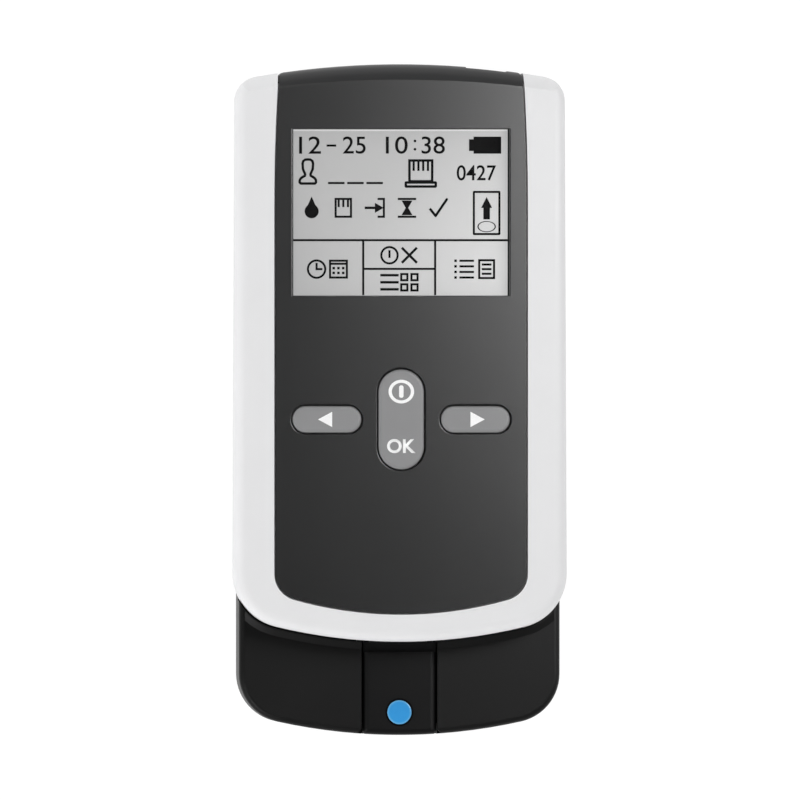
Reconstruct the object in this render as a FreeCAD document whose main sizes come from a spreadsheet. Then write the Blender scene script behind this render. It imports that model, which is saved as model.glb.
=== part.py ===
# Hand-held clotting-time (INR) meter, lying on its back.
# Frame: +Z out of the display face, +Y towards the display end, +X to the right, millimetres.
# The origin is under the middle of the meter, on the surface that it lies on.
import FreeCAD, Part
import math
import os
from types import SimpleNamespace

import Sketcher
from FreeCAD import Vector

SIZES = {
    # outline seen from the front
    "overall_length": 138.0,
    "nose_length": 19.25,
    "white_half_top": 33.8,
    "white_half_low": 34.2,
    "end_arc": 172.0,
    "white_arc": 108.0,
    "white_top_corner": 5.1,
    "white_low_corner": 11.3,
    "nose_half": 33.05,
    "nose_arc": 116.0,
    "nose_corner": 10.1,
    "rear_inset": 1.0,
    "rear_top_corner": 4.5,
    # depths, from the table up
    "foot_proud": 0.8,
    "rear_depth": 13.2,
    "front_depth": 13.6,
    "nose_rise": 5.5,
    "crown_radius": 1200.0,
    "crease_inset": 3.25,
    "crease_drop": 5.2,
    # walls and edges
    "wall": 2.0,
    "end_wall": 4.0,
    "face_round": 2.3,
    "back_round": 3.4,
    "nose_round": 1.2,
    "seam_gap": 0.3,
    "cut_margin": 1.0,
    "collar_width": 1.6,
    "collar_height": 0.65,
    "collar_slope": 1.3,
    "collar_foot": 0.1,
    "cheek_inner": 12.0,
    "cheek_outer": 27.0,
    "cheek_from_tip": 7.0,
    # black front panel and its recess in the white shell
    "panel_half": 25.8,
    "panel_gap": 0.3,
    "panel_rim": 5.85,
    "panel_arc": 80.7,
    "panel_corner": 5.3,
    "panel_thickness": 2.2,
    "side_arc": 420.0,
    "side_straight": 29.0,
    "skirt_thickness": 1.8,
    "skirt_lift": 0.2,
    "skirt_corner": 1.2,
    "opening_round": 0.2,
    "ledge_width": 1.8,
    "ledge_thickness": 1.8,
    # display
    "window_width": 44.7,
    "window_height": 34.2,
    "window_drop": 13.4,
    "window_gap": 0.1,
    "lens_flange": 1.5,
    "lens_flange_thickness": 1.0,
    "glass_half": 22.9,
    "glass_over_top": 2.2,
    "glass_over_low": 2.8,
    "glass_thickness": 1.9,
    "glass_gap": 0.15,
    "light_thickness": 1.8,
    "frame_wall": 0.85,
    "frame_lip": 1.0,
    # keys
    "key_drop": 73.05,
    "key_spread": 15.27,
    "side_key_length": 14.1,
    "side_key_width": 5.4,
    "middle_key_length": 20.5,
    "middle_key_width": 9.3,
    "key_gap": 0.3,
    "key_proud": 0.5,
    "key_edge": 0.6,
    "key_flange": 0.8,
    "key_flange_thickness": 1.1,
    "side_key_slack": 0.2,
    "middle_key_slack": 0.7,
    "ridge_radius": 0.5,
    "dome_radius": 2.9,
    "dome_top_radius": 1.7,
    "dome_wall": 0.6,
    "dome_slack": 0.1,
    "middle_dome_spread": 6.5,
    # main board and what it carries
    "board_drop": 5.2,
    "board_thickness": 1.6,
    "board_half": 28.6,
    "board_neck_half": 23.9,
    "board_tongue_half": 12.0,
    "board_top": 6.2,
    "board_shoulder": 17.0,
    "board_low_inset": 22.75,
    "chip_size": 12.0,
    "chip_thickness": 1.4,
    "chip_x": 8.0,
    "chip_drop": 29.0,
    "clock_cell_radius": 6.25,
    "clock_cell_x": 14.0,
    "clock_cell_drop": 36.0,
    "clock_cell_thickness": 2.6,
    "buzzer_radius": 6.0,
    "buzzer_mouth": 1.2,
    "buzzer_x": 14.0,
    "buzzer_drop": 19.0,
    "buzzer_thickness": 3.0,
    # data port
    "port_across": 17.8,
    "port_width": 7.5,
    "port_height": 2.55,
    "port_length": 7.5,
    "port_setback": 0.8,
    "port_wall": 0.3,
    "port_opening_width": 8.6,
    "port_opening_height": 3.6,
    "port_flat_depth": 0.22,
    # test card channel, heater and connector
    "channel_half": 7.0,
    "channel_floor": 12.4,
    "channel_height": 4.4,
    "guide_wall": 1.6,
    "guide_floor": 1.6,
    "guide_reach": 2.6,
    "guide_inner_end": 13.65,
    "saddle_thickness": 1.5,
    "heater_half": 5.85,
    "heater_length": 16.0,
    "heater_from_tip": 11.0,
    "heater_lip": 1.0,
    "heater_gap": 0.15,
    "connector_half": 7.2,
    "connector_length": 5.0,
    "connector_gap": 0.5,
    "connector_slot_half": 5.8,
    "connector_slot_height": 2.4,
    # cover over the channel
    "cover_half": 7.55,
    "cover_gap": 0.27,
    "cover_corner": 0.6,
    "tongue_width": 1.3,
    "tongue_thickness": 0.9,
    "tongue_gap": 0.2,
    "thumb_step": 0.8,
    "thumb_band": 2.2,
    "flute_depth": 0.8,
    "dot_radius": 2.48,
    "dot_from_tip": 4.7,
    "dot_recess": 0.6,
    "dot_proud": 0.15,
    "dot_gap": 0.12,
    # battery compartment, cells and door, the cells' middle measured from the tip
    "cell_radius": 5.2,
    "cell_length": 44.5,
    "cell_pitch": 10.8,
    "cell_nub_radius": 1.9,
    "cell_nub_length": 1.0,
    "cell_edge": 0.5,
    "cell_middle": 71.25,
    "cell_side_gap": 0.5,
    "cell_gap": 0.1,
    "contact_space": 2.4,
    "bay_head_gap": 0.2,
    "bay_wall": 1.2,
    "door_ledge_side": 1.3,
    "door_ledge_low": 4.6,
    "door_ledge_top": 2.1,
    "door_thickness": 1.5,
    "door_corner": 2.0,
    "door_gap": 0.25,
    "lip_gap": 0.2,
    "hook_spread": 12.0,
    "hook_width": 5.0,
    "hook_reach": 1.3,
    "hook_thickness": 1.3,
    "hook_room": 0.9,
    "catch_width": 10.0,
    "catch_slack": 0.25,
    "grip_length": 14.0,
    "grip_width": 5.0,
    "grip_depth": 0.6,
    "rib_pitch": 1.2,
    "rib_width": 0.5,
    "rib_depth": 0.25,
    "contact_width": 7.0,
    "contact_thickness": 0.4,
    "contact_gap": 0.1,
    # screws, measured along the meter from its ends, the key row and the board's low end
    "case_screw_x": 27.3,
    "case_screw_top": 9.5,
    "case_screw_low": 16.75,
    "case_boss_radius": 3.1,
    "case_screw_radius": 1.1,
    "case_screw_length": 12.0,
    "case_head_radius": 2.0,
    "case_head_thickness": 1.6,
    "case_head_recess": 8.2,
    "hole_gap": 0.15,
    "thread_gap": 0.05,
    "board_screw_x": 26.5,
    "board_screw_top": 14.05,
    "board_screw_low": 5.0,
    "board_boss_radius": 2.2,
    "board_screw_radius": 0.75,
    "board_screw_length": 4.4,
    "board_head_radius": 1.9,
    "board_head_thickness": 1.3,
    # feet, measured inwards from the sides and ends of the back
    "foot_radius": 4.0,
    "foot_recess": 0.6,
    "foot_gap": 0.15,
    "foot_top_x": 9.05,
    "foot_top_y": 22.0,
    "foot_low_x": 10.15,
    "foot_low_y": 12.8,
    # sound slots in the back, under the buzzer
    "sound_slot_length": 7.0,
    "sound_slot_width": 1.0,
    "sound_slot_pitch": 2.2,
}

doc = FreeCAD.newDocument("inr_meter")
sheet = doc.addObject("Spreadsheet::Sheet", "Sizes")
for row, (alias, number) in enumerate(SIZES.items(), 1):
    sheet.set(f"A{row}", alias)
    sheet.set(f"B{row}", str(number))
    sheet.setAlias(f"B{row}", alias)
doc.recompute()


class Size:
    """A length that carries its number and the sheet expression that gives it."""

    def __init__(self, number, text=None):
        self.number = float(number)
        self.text = text or f"{float(number):g}"

    @staticmethod
    def of(other):
        return other if isinstance(other, Size) else Size(other)

    def __add__(self, other):
        other = Size.of(other)
        return Size(self.number + other.number, f"({self.text} + {other.text})")

    def __sub__(self, other):
        other = Size.of(other)
        return Size(self.number - other.number, f"({self.text} - {other.text})")

    def __mul__(self, factor):
        return Size(self.number * factor, f"({self.text} * {factor:g})")

    def __truediv__(self, factor):
        return Size(self.number / factor, f"({self.text} / {factor:g})")

    def __neg__(self):
        return Size(-self.number, f"(-1 * {self.text})")


s = SimpleNamespace(**{alias: Size(number, f"Sizes.{alias}") for alias, number in SIZES.items()})

ZERO = Size(0)
MARGIN = s.cut_margin  # how far a cut runs past the material

# levels above the table
parting = s.foot_proud + s.rear_depth
face = parting + s.front_depth
nose_top = parting + s.nose_rise
panel_seat = face - s.panel_thickness
ledge_under = panel_seat - s.ledge_thickness
board_up = panel_seat - s.board_drop
board_under = board_up - s.board_thickness
skirt_low = parting + s.skirt_lift
back_inside = s.foot_proud + s.wall
cover_under = s.channel_floor + s.channel_height
key_top = face + s.key_proud

# places along the meter
top = s.overall_length / 2
tip = -top
white_low = tip + s.nose_length
end_centre = top - s.end_arc
key_row = top - s.key_drop
window_top = top - s.window_drop
window_low = window_top - s.window_height
panel_low = white_low + s.panel_rim
guide_end = white_low + s.guide_inner_end
board_low = white_low + s.board_low_inset
board_high = top - s.board_top
side_start = top - s.side_straight

# battery bay and door
cell_low = tip + s.cell_middle - s.cell_length / 2
cell_high = cell_low + s.cell_length
bay_half = s.cell_pitch * 1.5 + s.cell_radius + s.cell_side_gap
bay_low = cell_low - s.contact_space
bay_high = cell_high + s.contact_space
door_half = bay_half + s.door_ledge_side
door_low = bay_low - s.door_ledge_low
door_high = bay_high + s.door_ledge_top
door_inside = s.foot_proud + s.door_thickness
cell_level = door_inside + s.cell_gap + s.cell_radius
bay_up = cell_level + s.cell_radius + s.bay_head_gap
lip_top = back_inside - s.lip_gap / 2
hook_low = lip_top + s.lip_gap
hook_up = hook_low + s.hook_thickness


def bind(item, name, size):
    """Give a feature's length its number and the expression it follows."""
    setattr(item, name, size.number)
    item.setExpression(name, size.text)


def new_body(label):
    body = doc.addObject("PartDesign::Body", label)
    body.Label = label
    return body


class Drawing:
    """A sketch on one of a body's origin planes, with every point bound to the sheet."""

    def __init__(self, body, name, plane="XY_Plane", raised=ZERO, shifted=ZERO, lifted=ZERO):
        self.body = body
        self.sketch = body.newObject("Sketcher::SketchObject", f"{body.Label}_{name}")
        support = next(item for item in body.Origin.OriginFeatures if item.Role == plane)
        self.sketch.AttachmentSupport = [(support, "")]
        self.sketch.MapMode = "FlatFace"
        for axis, size in (("x", shifted), ("y", lifted), ("z", raised)):
            self.sketch.setExpression(f"AttachmentOffset.Base.{axis}", size.text)

    def hold(self, kind, *where, size):
        index = self.sketch.addConstraint(Sketcher.Constraint(kind, *where, size.number))
        self.sketch.setExpression(f"Constraints[{index}]", size.text)

    def hold_x(self, edge, end, size):
        if size.number == 0:
            self.sketch.addConstraint(Sketcher.Constraint("PointOnObject", edge, end, -2))
        else:
            self.hold("DistanceX", -1, 1, edge, end, size=size)

    def hold_y(self, edge, end, size):
        if size.number == 0:
            self.sketch.addConstraint(Sketcher.Constraint("PointOnObject", edge, end, -1))
        else:
            self.hold("DistanceY", -1, 1, edge, end, size=size)

    def hold_point(self, edge, end, x, y):
        self.hold_x(edge, end, x)
        self.hold_y(edge, end, y)

    def line(self, start, end):
        return self.sketch.addGeometry(Part.LineSegment(Vector(*start, 0), Vector(*end, 0)))

    def arc(self, x, y, radius, start, end):
        circle = Part.Circle(Vector(x, y, 0), Vector(0, 0, 1), radius)
        return self.sketch.addGeometry(Part.ArcOfCircle(circle, start, end))

    def join(self, pairs, kind):
        for first, second in pairs:
            self.sketch.addConstraint(Sketcher.Constraint(kind, first, 2, second, 1))

    def polygon(self, points):
        first = self.sketch.GeometryCount
        count = len(points)
        places = [(x.number, y.number) for x, y in points]
        for index in range(count):
            self.line(places[index], places[(index + 1) % count])
        self.join([(first + i, first + (i + 1) % count) for i in range(count)], "Coincident")
        for index, (x, y) in enumerate(points):
            self.hold_point(first + index, 1, x, y)
        return self

    def rectangle(self, left, right, low, high):
        return self.polygon([(left, low), (right, low), (right, high), (left, high)])

    def rounded(self, left, right, low, high, corner):
        """A rectangle with round corners."""
        first = self.sketch.GeometryCount
        x0, x1, y0, y1, r = (item.number for item in (left, right, low, high, corner))
        self.line((x1, y0 + r), (x1, y1 - r))
        self.arc(x1 - r, y1 - r, r, 0, math.pi / 2)
        self.line((x1 - r, y1), (x0 + r, y1))
        self.arc(x0 + r, y1 - r, r, math.pi / 2, math.pi)
        self.line((x0, y1 - r), (x0, y0 + r))
        self.arc(x0 + r, y0 + r, r, math.pi, 1.5 * math.pi)
        self.line((x0 + r, y0), (x1 - r, y0))
        self.arc(x1 - r, y0 + r, r, 1.5 * math.pi, 2 * math.pi)
        self.join([(first + i, first + (i + 1) % 8) for i in range(8)], "Tangent")
        centres = ((right - corner, high - corner), (left + corner, high - corner),
                   (left + corner, low + corner), (right - corner, low + corner))
        for index, centre in enumerate(centres):
            edge = first + 1 + 2 * index
            self.hold("Radius", edge, size=corner)
            self.hold_point(edge, 3, *centre)
        return self

    def slot(self, x, y, length, width, upright=False):
        """A bar with half-round ends, lying along X or standing along Y."""
        first = self.sketch.GeometryCount
        radius = width / 2
        reach = length / 2 - radius
        ends = [(x, y + reach), (x, y - reach)] if upright else [(x + reach, y), (x - reach, y)]
        turn = 0 if upright else -math.pi / 2
        r = radius.number
        spots = []
        for index, (cx, cy) in enumerate(ends):
            start = turn + index * math.pi
            self.arc(cx.number, cy.number, r, start, start + math.pi)
            spots.append([(cx.number + r * math.cos(a), cy.number + r * math.sin(a))
                          for a in (start, start + math.pi)])
        self.line(spots[0][1], spots[1][0])
        self.line(spots[1][1], spots[0][0])
        pairs = [(first, first + 2), (first + 2, first + 1), (first + 1, first + 3), (first + 3, first)]
        self.join(pairs, "Tangent")
        for index, (cx, cy) in enumerate(ends):
            self.hold("Radius", first + index, size=radius)
            self.hold_point(first + index, 3, cx, cy)
        return self

    def circle(self, x, y, radius):
        round_edge = Part.Circle(Vector(x.number, y.number, 0), Vector(0, 0, 1), radius.number)
        edge = self.sketch.addGeometry(round_edge)
        self.hold("Radius", edge, size=radius)
        self.hold_point(edge, 3, x, y)
        return self

    def casing(self, half_top, half_low, high, low, high_arc, low_arc, high_corner, low_corner):
        """A long outline with arched ends and round corners, even about the Y axis."""
        first = self.sketch.GeometryCount
        y_high = high.number - high_arc.number
        y_low = low.number + low_arc.number
        r_high, r_low = high_corner.number, low_corner.number
        x_high = half_top.number - r_high
        x_low = half_low.number - r_low
        c_high = y_high + math.sqrt((high_arc.number - r_high) ** 2 - x_high**2)
        c_low = y_low - math.sqrt((low_arc.number - r_low) ** 2 - x_low**2)
        lean_high = math.atan2(c_high - y_high, x_high)
        lean_low = math.atan2(y_low - c_low, x_low)
        self.line((half_low.number, c_low), (half_top.number, c_high))
        self.arc(x_high, c_high, r_high, 0, lean_high)
        self.arc(0, y_high, high_arc.number, lean_high, math.pi - lean_high)
        self.arc(-x_high, c_high, r_high, math.pi - lean_high, math.pi)
        self.line((-half_top.number, c_high), (-half_low.number, c_low))
        self.arc(-x_low, c_low, r_low, math.pi, math.pi + lean_low)
        self.arc(0, y_low, low_arc.number, math.pi + lean_low, 2 * math.pi - lean_low)
        self.arc(x_low, c_low, r_low, 2 * math.pi - lean_low, 2 * math.pi)
        self.join([(first + i, first + (i + 1) % 8) for i in range(8)], "Tangent")
        for edge, radius in ((1, high_corner), (2, high_arc), (3, high_corner),
                             (5, low_corner), (6, low_arc), (7, low_corner)):
            self.hold("Radius", first + edge, size=radius)
        self.hold_point(first + 2, 3, ZERO, high - high_arc)
        self.hold_point(first + 6, 3, ZERO, low + low_arc)
        self.hold_x(first, 2, half_top)
        self.hold_x(first, 1, half_low)
        self.hold_x(first + 4, 1, -half_top)
        self.hold_x(first + 4, 2, -half_low)
        return self

    def side_meets_end(self, half, end_radius):
        """Where a curved side of the panel meets an arc about the end centre."""
        x = half.number
        centre_x = half.number - s.side_arc.number
        for _ in range(20):
            y = end_centre.number + math.sqrt(end_radius.number**2 - x**2)
            x = centre_x + math.sqrt(s.side_arc.number**2 - (y - side_start.number) ** 2)
        return x, y

    def panel(self, half, low, low_arc, low_corner, end_radius):
        """The front panel's outline: straight sides that curve in towards the display end."""
        first = self.sketch.GeometryCount
        radius = s.side_arc - (s.panel_half - half)
        centre_x = half.number - radius.number
        x_end, y_end = self.side_meets_end(half, end_radius)
        y_low = low.number + low_arc.number
        r = low_corner.number
        x_low = half.number - r
        c_low = y_low - math.sqrt((low_arc.number - r) ** 2 - x_low**2)
        lean_low = math.atan2(y_low - c_low, x_low)
        lean_side = math.asin((y_end - side_start.number) / radius.number)
        lean_end = math.atan2(y_end - end_centre.number, x_end)
        self.line((half.number, c_low), (half.number, side_start.number))
        self.arc(centre_x, side_start.number, radius.number, 0, lean_side)
        self.arc(0, end_centre.number, end_radius.number, lean_end, math.pi - lean_end)
        self.arc(-centre_x, side_start.number, radius.number, math.pi - lean_side, math.pi)
        self.line((-half.number, side_start.number), (-half.number, c_low))
        self.arc(-x_low, c_low, r, math.pi, math.pi + lean_low)
        self.arc(0, y_low, low_arc.number, math.pi + lean_low, 2 * math.pi - lean_low)
        self.arc(x_low, c_low, r, 2 * math.pi - lean_low, 2 * math.pi)
        smooth = (0, 3, 4, 5, 6, 7)
        self.join([(first + i, first + (i + 1) % 8) for i in smooth], "Tangent")
        self.join([(first + 1, first + 2), (first + 2, first + 3)], "Coincident")
        for edge, size in ((1, radius), (2, end_radius), (3, radius),
                           (5, low_corner), (6, low_arc), (7, low_corner)):
            self.hold("Radius", first + edge, size=size)
        self.hold_point(first + 2, 3, ZERO, end_centre)
        self.hold_point(first + 6, 3, ZERO, low + low_arc)
        self.hold_point(first, 2, half, side_start)
        self.hold_x(first, 1, half)
        self.hold_point(first + 4, 1, -half, side_start)
        self.hold_x(first + 4, 2, -half)
        return self

    def end_strip(self, half, inner, outer):
        """The part of the panel's outline between two arcs about the end centre."""
        first = self.sketch.GeometryCount
        radius = s.side_arc - (s.panel_half - half)
        centre_x = half - radius
        ends = [self.side_meets_end(half, size) for size in (inner, outer)]
        side = [math.asin((y - side_start.number) / radius.number) for _, y in ends]
        end = [math.atan2(y - end_centre.number, x) for x, y in ends]
        self.arc(centre_x.number, side_start.number, radius.number, side[0], side[1])
        self.arc(0, end_centre.number, outer.number, end[1], math.pi - end[1])
        self.arc(-centre_x.number, side_start.number, radius.number, math.pi - side[1], math.pi - side[0])
        self.arc(0, end_centre.number, inner.number, end[0], math.pi - end[0])
        self.join([(first, first + 1), (first + 1, first + 2)], "Coincident")
        self.sketch.addConstraint(Sketcher.Constraint("Coincident", first + 2, 2, first + 3, 2))
        self.sketch.addConstraint(Sketcher.Constraint("Coincident", first + 3, 1, first, 1))
        for edge, size in enumerate((radius, outer, radius, inner)):
            self.hold("Radius", first + edge, size=size)
        self.hold_point(first, 3, centre_x, side_start)
        self.hold_point(first + 1, 3, ZERO, end_centre)
        self.hold_point(first + 2, 3, -centre_x, side_start)
        self.hold_point(first + 3, 3, ZERO, end_centre)
        return self

    def arched_bar(self, left, right, square_end, apex, radius, outward):
        """A bar along Y with one square end and one end on an arc about the Y axis."""
        first = self.sketch.GeometryCount
        x0, x1, y0 = left.number, right.number, square_end.number
        r = radius.number
        centre = apex - radius * outward
        reach = [centre.number + outward * math.sqrt(r * r - x * x) for x in (x0, x1)]
        turn = [math.atan2(y - centre.number, x) for x, y in zip((x1, x0), (reach[1], reach[0]))]
        self.line((x0, y0), (x1, y0))
        self.line((x1, y0), (x1, reach[1]))
        if outward > 0:
            self.arc(0, centre.number, r, turn[0], turn[1])
        else:
            self.arc(0, centre.number, r, turn[1], turn[0])
        self.line((x0, reach[0]), (x0, y0))
        near, far = (1, 2) if outward > 0 else (2, 1)
        self.join([(first, first + 1), (first + 3, first)], "Coincident")
        self.sketch.addConstraint(Sketcher.Constraint("Coincident", first + 1, 2, first + 2, near))
        self.sketch.addConstraint(Sketcher.Constraint("Coincident", first + 2, far, first + 3, 1))
        self.hold_point(first, 1, left, square_end)
        self.hold_point(first, 2, right, square_end)
        self.hold_x(first + 1, 2, right)
        self.hold_x(first + 3, 1, left)
        self.hold("Radius", first + 2, size=radius)
        self.hold_point(first + 2, 3, ZERO, centre)
        return self

    def above_crown(self, half):
        """In the XZ plane, what lies above the crowned face."""
        first = self.sketch.GeometryCount
        radius = s.crown_radius.number
        centre = face.number - radius
        rise = centre + math.sqrt(radius**2 - half.number**2)
        lean = math.atan2(rise - centre, half.number)
        high = face.number + MARGIN.number * 2
        self.arc(0, centre, radius, lean, math.pi - lean)
        self.line((-half.number, rise), (-half.number, high))
        self.line((-half.number, high), (half.number, high))
        self.line((half.number, high), (half.number, rise))
        self.join([(first + i, first + (i + 1) % 4) for i in range(4)], "Coincident")
        self.hold("Radius", first, size=s.crown_radius)
        self.hold_point(first, 3, ZERO, face - s.crown_radius)
        self.hold_x(first, 1, half)
        self.hold_x(first, 2, -half)
        self.hold_point(first + 1, 2, -half, face + MARGIN * 2)
        self.hold_point(first + 2, 2, half, face + MARGIN * 2)
        return self

    def beyond_crease(self):
        """In the YZ plane, measured from the end centre, what lies beyond the end's slope."""
        first = self.sketch.GeometryCount
        run, drop = s.crease_inset, s.crease_drop
        slope = (run.number**2 + drop.number**2) / (2 * run.number)
        slope_text = f"(({run.text}^2 + {drop.text}^2) / (2 * {run.text}))"
        radius = Size(slope, slope_text)
        outer = s.end_arc + MARGIN * 3
        high = face + MARGIN * 2
        foot = face - drop
        start = s.end_arc - run
        turn = math.atan2(drop.number, radius.number - run.number)
        self.arc((s.end_arc - radius).number, foot.number, slope, 0, math.pi - turn)
        crease = (start.number, face.number)
        corners = [crease, (start.number, high.number), (outer.number, high.number),
                   (outer.number, foot.number), (s.end_arc.number, foot.number)]
        for near, far in zip(corners, corners[1:]):
            self.line(near, far)
        self.join([(first + i, first + (i + 1) % 5) for i in range(5)], "Coincident")
        self.hold("Radius", first, size=radius)
        self.hold_point(first, 3, s.end_arc - radius, foot)
        self.hold_x(first, 2, start)
        self.hold_point(first + 1, 2, start, high)
        self.hold_point(first + 2, 2, outer, high)
        self.hold_point(first + 3, 2, outer, foot)
        self.hold_y(first + 4, 2, foot)
        return self


def edge_names(shape, test):
    """The names of the edges whose ends and middle all pass a test."""
    names = []
    for index, edge in enumerate(shape.Edges, 1):
        first, last = edge.ParameterRange
        points = [edge.valueAt(first + (last - first) * share) for share in (0, 0.5, 1)]
        if all(test(point) for point in points):
            names.append(f"Edge{index}")
    return names


def feature(drawing, kind, length, flipped=False, both=False, through=False):
    """Pad or pocket a drawing, and make sure that it adds or takes away material."""
    body = drawing.body
    before = body.Shape.Volume if body.Tip else 0
    made = body.newObject(f"PartDesign::{kind}", drawing.sketch.Name + "_" + kind.lower())
    made.Profile = drawing.sketch
    made.Reversed = flipped
    if both:
        made.SideType = "Symmetric"
    if through:
        made.Type = "ThroughAll"
    else:
        bind(made, "Length", length)
    doc.recompute()
    change = made.Shape.Volume - before
    if (change <= 0) if kind == "Pad" else (change >= 0):
        raise ValueError(f"{made.Name} changes nothing")
    return made


def pad(drawing, length, **settings):
    return feature(drawing, "Pad", length, **settings)


def cut_down(drawing, length):
    return feature(drawing, "Pocket", length)


def cut_up(drawing, length):
    return feature(drawing, "Pocket", length, flipped=True)


def cut_through(drawing):
    return feature(drawing, "Pocket", None, both=True, through=True)


def turn(drawing, kind, axis, angle=360):
    """Revolve or groove a drawing about one of its own axes."""
    body = drawing.body
    before = body.Shape.Volume if body.Tip else 0
    made = body.newObject(f"PartDesign::{kind}", drawing.sketch.Name + "_" + kind.lower())
    made.Profile = drawing.sketch
    made.ReferenceAxis = (drawing.sketch, [axis])
    made.Angle = angle
    made.Midplane = angle < 360
    doc.recompute()
    if (made.Shape.Volume > before) != (kind == "Revolution"):
        raise ValueError(f"{made.Name} changes nothing")
    return made


def dress(body, kind, name, size, test, second=None):
    """Fillet or chamfer the edges of a body that pass a test, a chamfer with two sizes if wanted."""
    base = body.Tip
    chosen = edge_names(base.Shape, test)
    if not chosen:
        raise ValueError(f"{body.Label} has no edge for {name}")
    made = body.newObject(f"PartDesign::{kind}", f"{body.Label}_{name}")
    made.Base = (base, chosen)
    bind(made, "Radius" if kind == "Fillet" else "Size", size)
    if second:
        made.ChamferType = "Two distances"
        bind(made, "Size2", second)
    doc.recompute()
    return made


def near(value, size, slack=0.01):
    return abs(value - size.number) < slack


def white_outline(drawing, grown=ZERO):
    """The white shell's outline, grown outwards by a size, or inwards by a negative one."""
    return drawing.casing(s.white_half_top + grown, s.white_half_low + grown, top + grown,
                          white_low - grown, s.end_arc + grown, s.white_arc + grown,
                          s.white_top_corner + grown, s.white_low_corner + grown)


def rear_outline(drawing, grown=ZERO):
    return drawing.casing(s.nose_half + grown, s.nose_half + grown, top - s.rear_inset + grown,
                          tip - grown, s.end_arc - s.rear_inset + grown, s.nose_arc + grown,
                          s.rear_top_corner + grown, s.nose_corner + grown)


def panel_outline(drawing, grown=ZERO, end_radius=None):
    return drawing.panel(s.panel_half + grown, panel_low - grown, s.panel_arc + grown,
                         s.panel_corner + grown, end_radius or s.end_arc)


def crown_cut(body):
    return cut_through(Drawing(body, "crown", "XZ_Plane").above_crown(s.white_half_low + s.white_half_top))


END_SWEEP = 40  # degrees of the end's slope, wider than the meter


def end_cut(body):
    profile = Drawing(body, "end_slope", "YZ_Plane", shifted=end_centre).beyond_crease()
    return turn(profile, "Groove", "V_Axis", END_SWEEP)


def both_sides(x):
    return (x, -x)


case_screws_at = [(x, y) for y in (top - s.case_screw_top, white_low + s.case_screw_low)
                  for x in both_sides(s.case_screw_x)]
board_screws_at = [(x, y) for y in (key_row + s.board_screw_top, board_low + s.board_screw_low)
                   for x in both_sides(s.board_screw_x)]
feet_at = {
    "foot_top_right": (s.nose_half - s.foot_top_x, top - s.foot_top_y),
    "foot_top_left": (s.foot_top_x - s.nose_half, top - s.foot_top_y),
    "foot_low_right": (s.nose_half - s.foot_low_x, tip + s.foot_low_y),
    "foot_low_left": (s.foot_low_x - s.nose_half, tip + s.foot_low_y),
}


def circles(drawing, places, radius):
    for x, y in places:
        drawing.circle(x, y, radius)
    return drawing


def front_shell():
    body = new_body("front_shell")
    pad(white_outline(Drawing(body, "outline", raised=parting)), s.front_depth + MARGIN)
    crown_cut(body)
    dress(body, "Fillet", "face_round", s.face_round,
          lambda point: point.z > face.number - 2 * s.face_round.number)
    end_cut(body)
    hollow = Drawing(body, "hollow", raised=parting)
    hollow.casing(s.white_half_top - s.wall, s.white_half_low - s.wall, top - s.end_wall,
                  white_low + s.wall, s.end_arc - s.end_wall, s.white_arc - s.wall,
                  s.white_top_corner - s.wall, s.white_low_corner - s.wall)
    cut_up(hollow, ledge_under - parting)
    recess = Drawing(body, "panel_recess", raised=face + MARGIN)
    panel_outline(recess, s.panel_gap, s.end_arc + MARGIN * 3)
    cut_down(recess, s.panel_thickness + MARGIN)
    relief = Drawing(body, "skirt_relief", raised=parting - MARGIN)
    relief.end_strip(s.panel_half + s.panel_gap, s.end_arc - s.skirt_thickness - s.panel_gap,
                     s.end_arc + MARGIN * 3)
    cut_up(relief, panel_seat - parting + MARGIN * 2)
    ledge = Drawing(body, "ledge_opening", raised=face + MARGIN)
    inner = s.panel_half + s.panel_gap - s.ledge_width
    ledge.rounded(-inner, inner, panel_low + s.panel_corner, top - s.end_wall - s.ledge_width,
                  s.panel_corner)
    cut_down(ledge, s.panel_thickness + s.ledge_thickness + MARGIN * 2)
    port = Drawing(body, "port_passage", raised=parting - MARGIN)
    port_half = s.port_width / 2 + s.panel_gap
    port.rectangle(s.port_across - port_half, s.port_across + port_half,
                   top - s.end_wall * 2, top + MARGIN)
    cut_up(port, board_under + s.panel_gap - parting + MARGIN)
    gate = Drawing(body, "card_gate", raised=parting - MARGIN)
    gate_half = s.channel_half + s.guide_wall + s.seam_gap
    gate.rectangle(-gate_half, gate_half, white_low - MARGIN, white_low + s.wall + MARGIN)
    cut_up(gate, cover_under - parting + MARGIN)
    bosses = circles(Drawing(body, "case_bosses", raised=parting), case_screws_at, s.case_boss_radius)
    pad(bosses, ledge_under - parting)
    pilots = Drawing(body, "case_pilots", raised=parting)
    circles(pilots, case_screws_at, s.case_screw_radius + s.thread_gap)
    cut_up(pilots, s.foot_proud + s.case_head_recess + s.case_screw_length + MARGIN - parting)
    posts = circles(Drawing(body, "board_posts", raised=board_up), board_screws_at, s.board_boss_radius)
    pad(posts, ledge_under - board_up)
    holes = Drawing(body, "board_pilots", raised=board_up)
    circles(holes, board_screws_at, s.board_screw_radius + s.thread_gap)
    cut_up(holes, s.board_screw_length - s.board_thickness + s.thread_gap)
    return body


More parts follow.
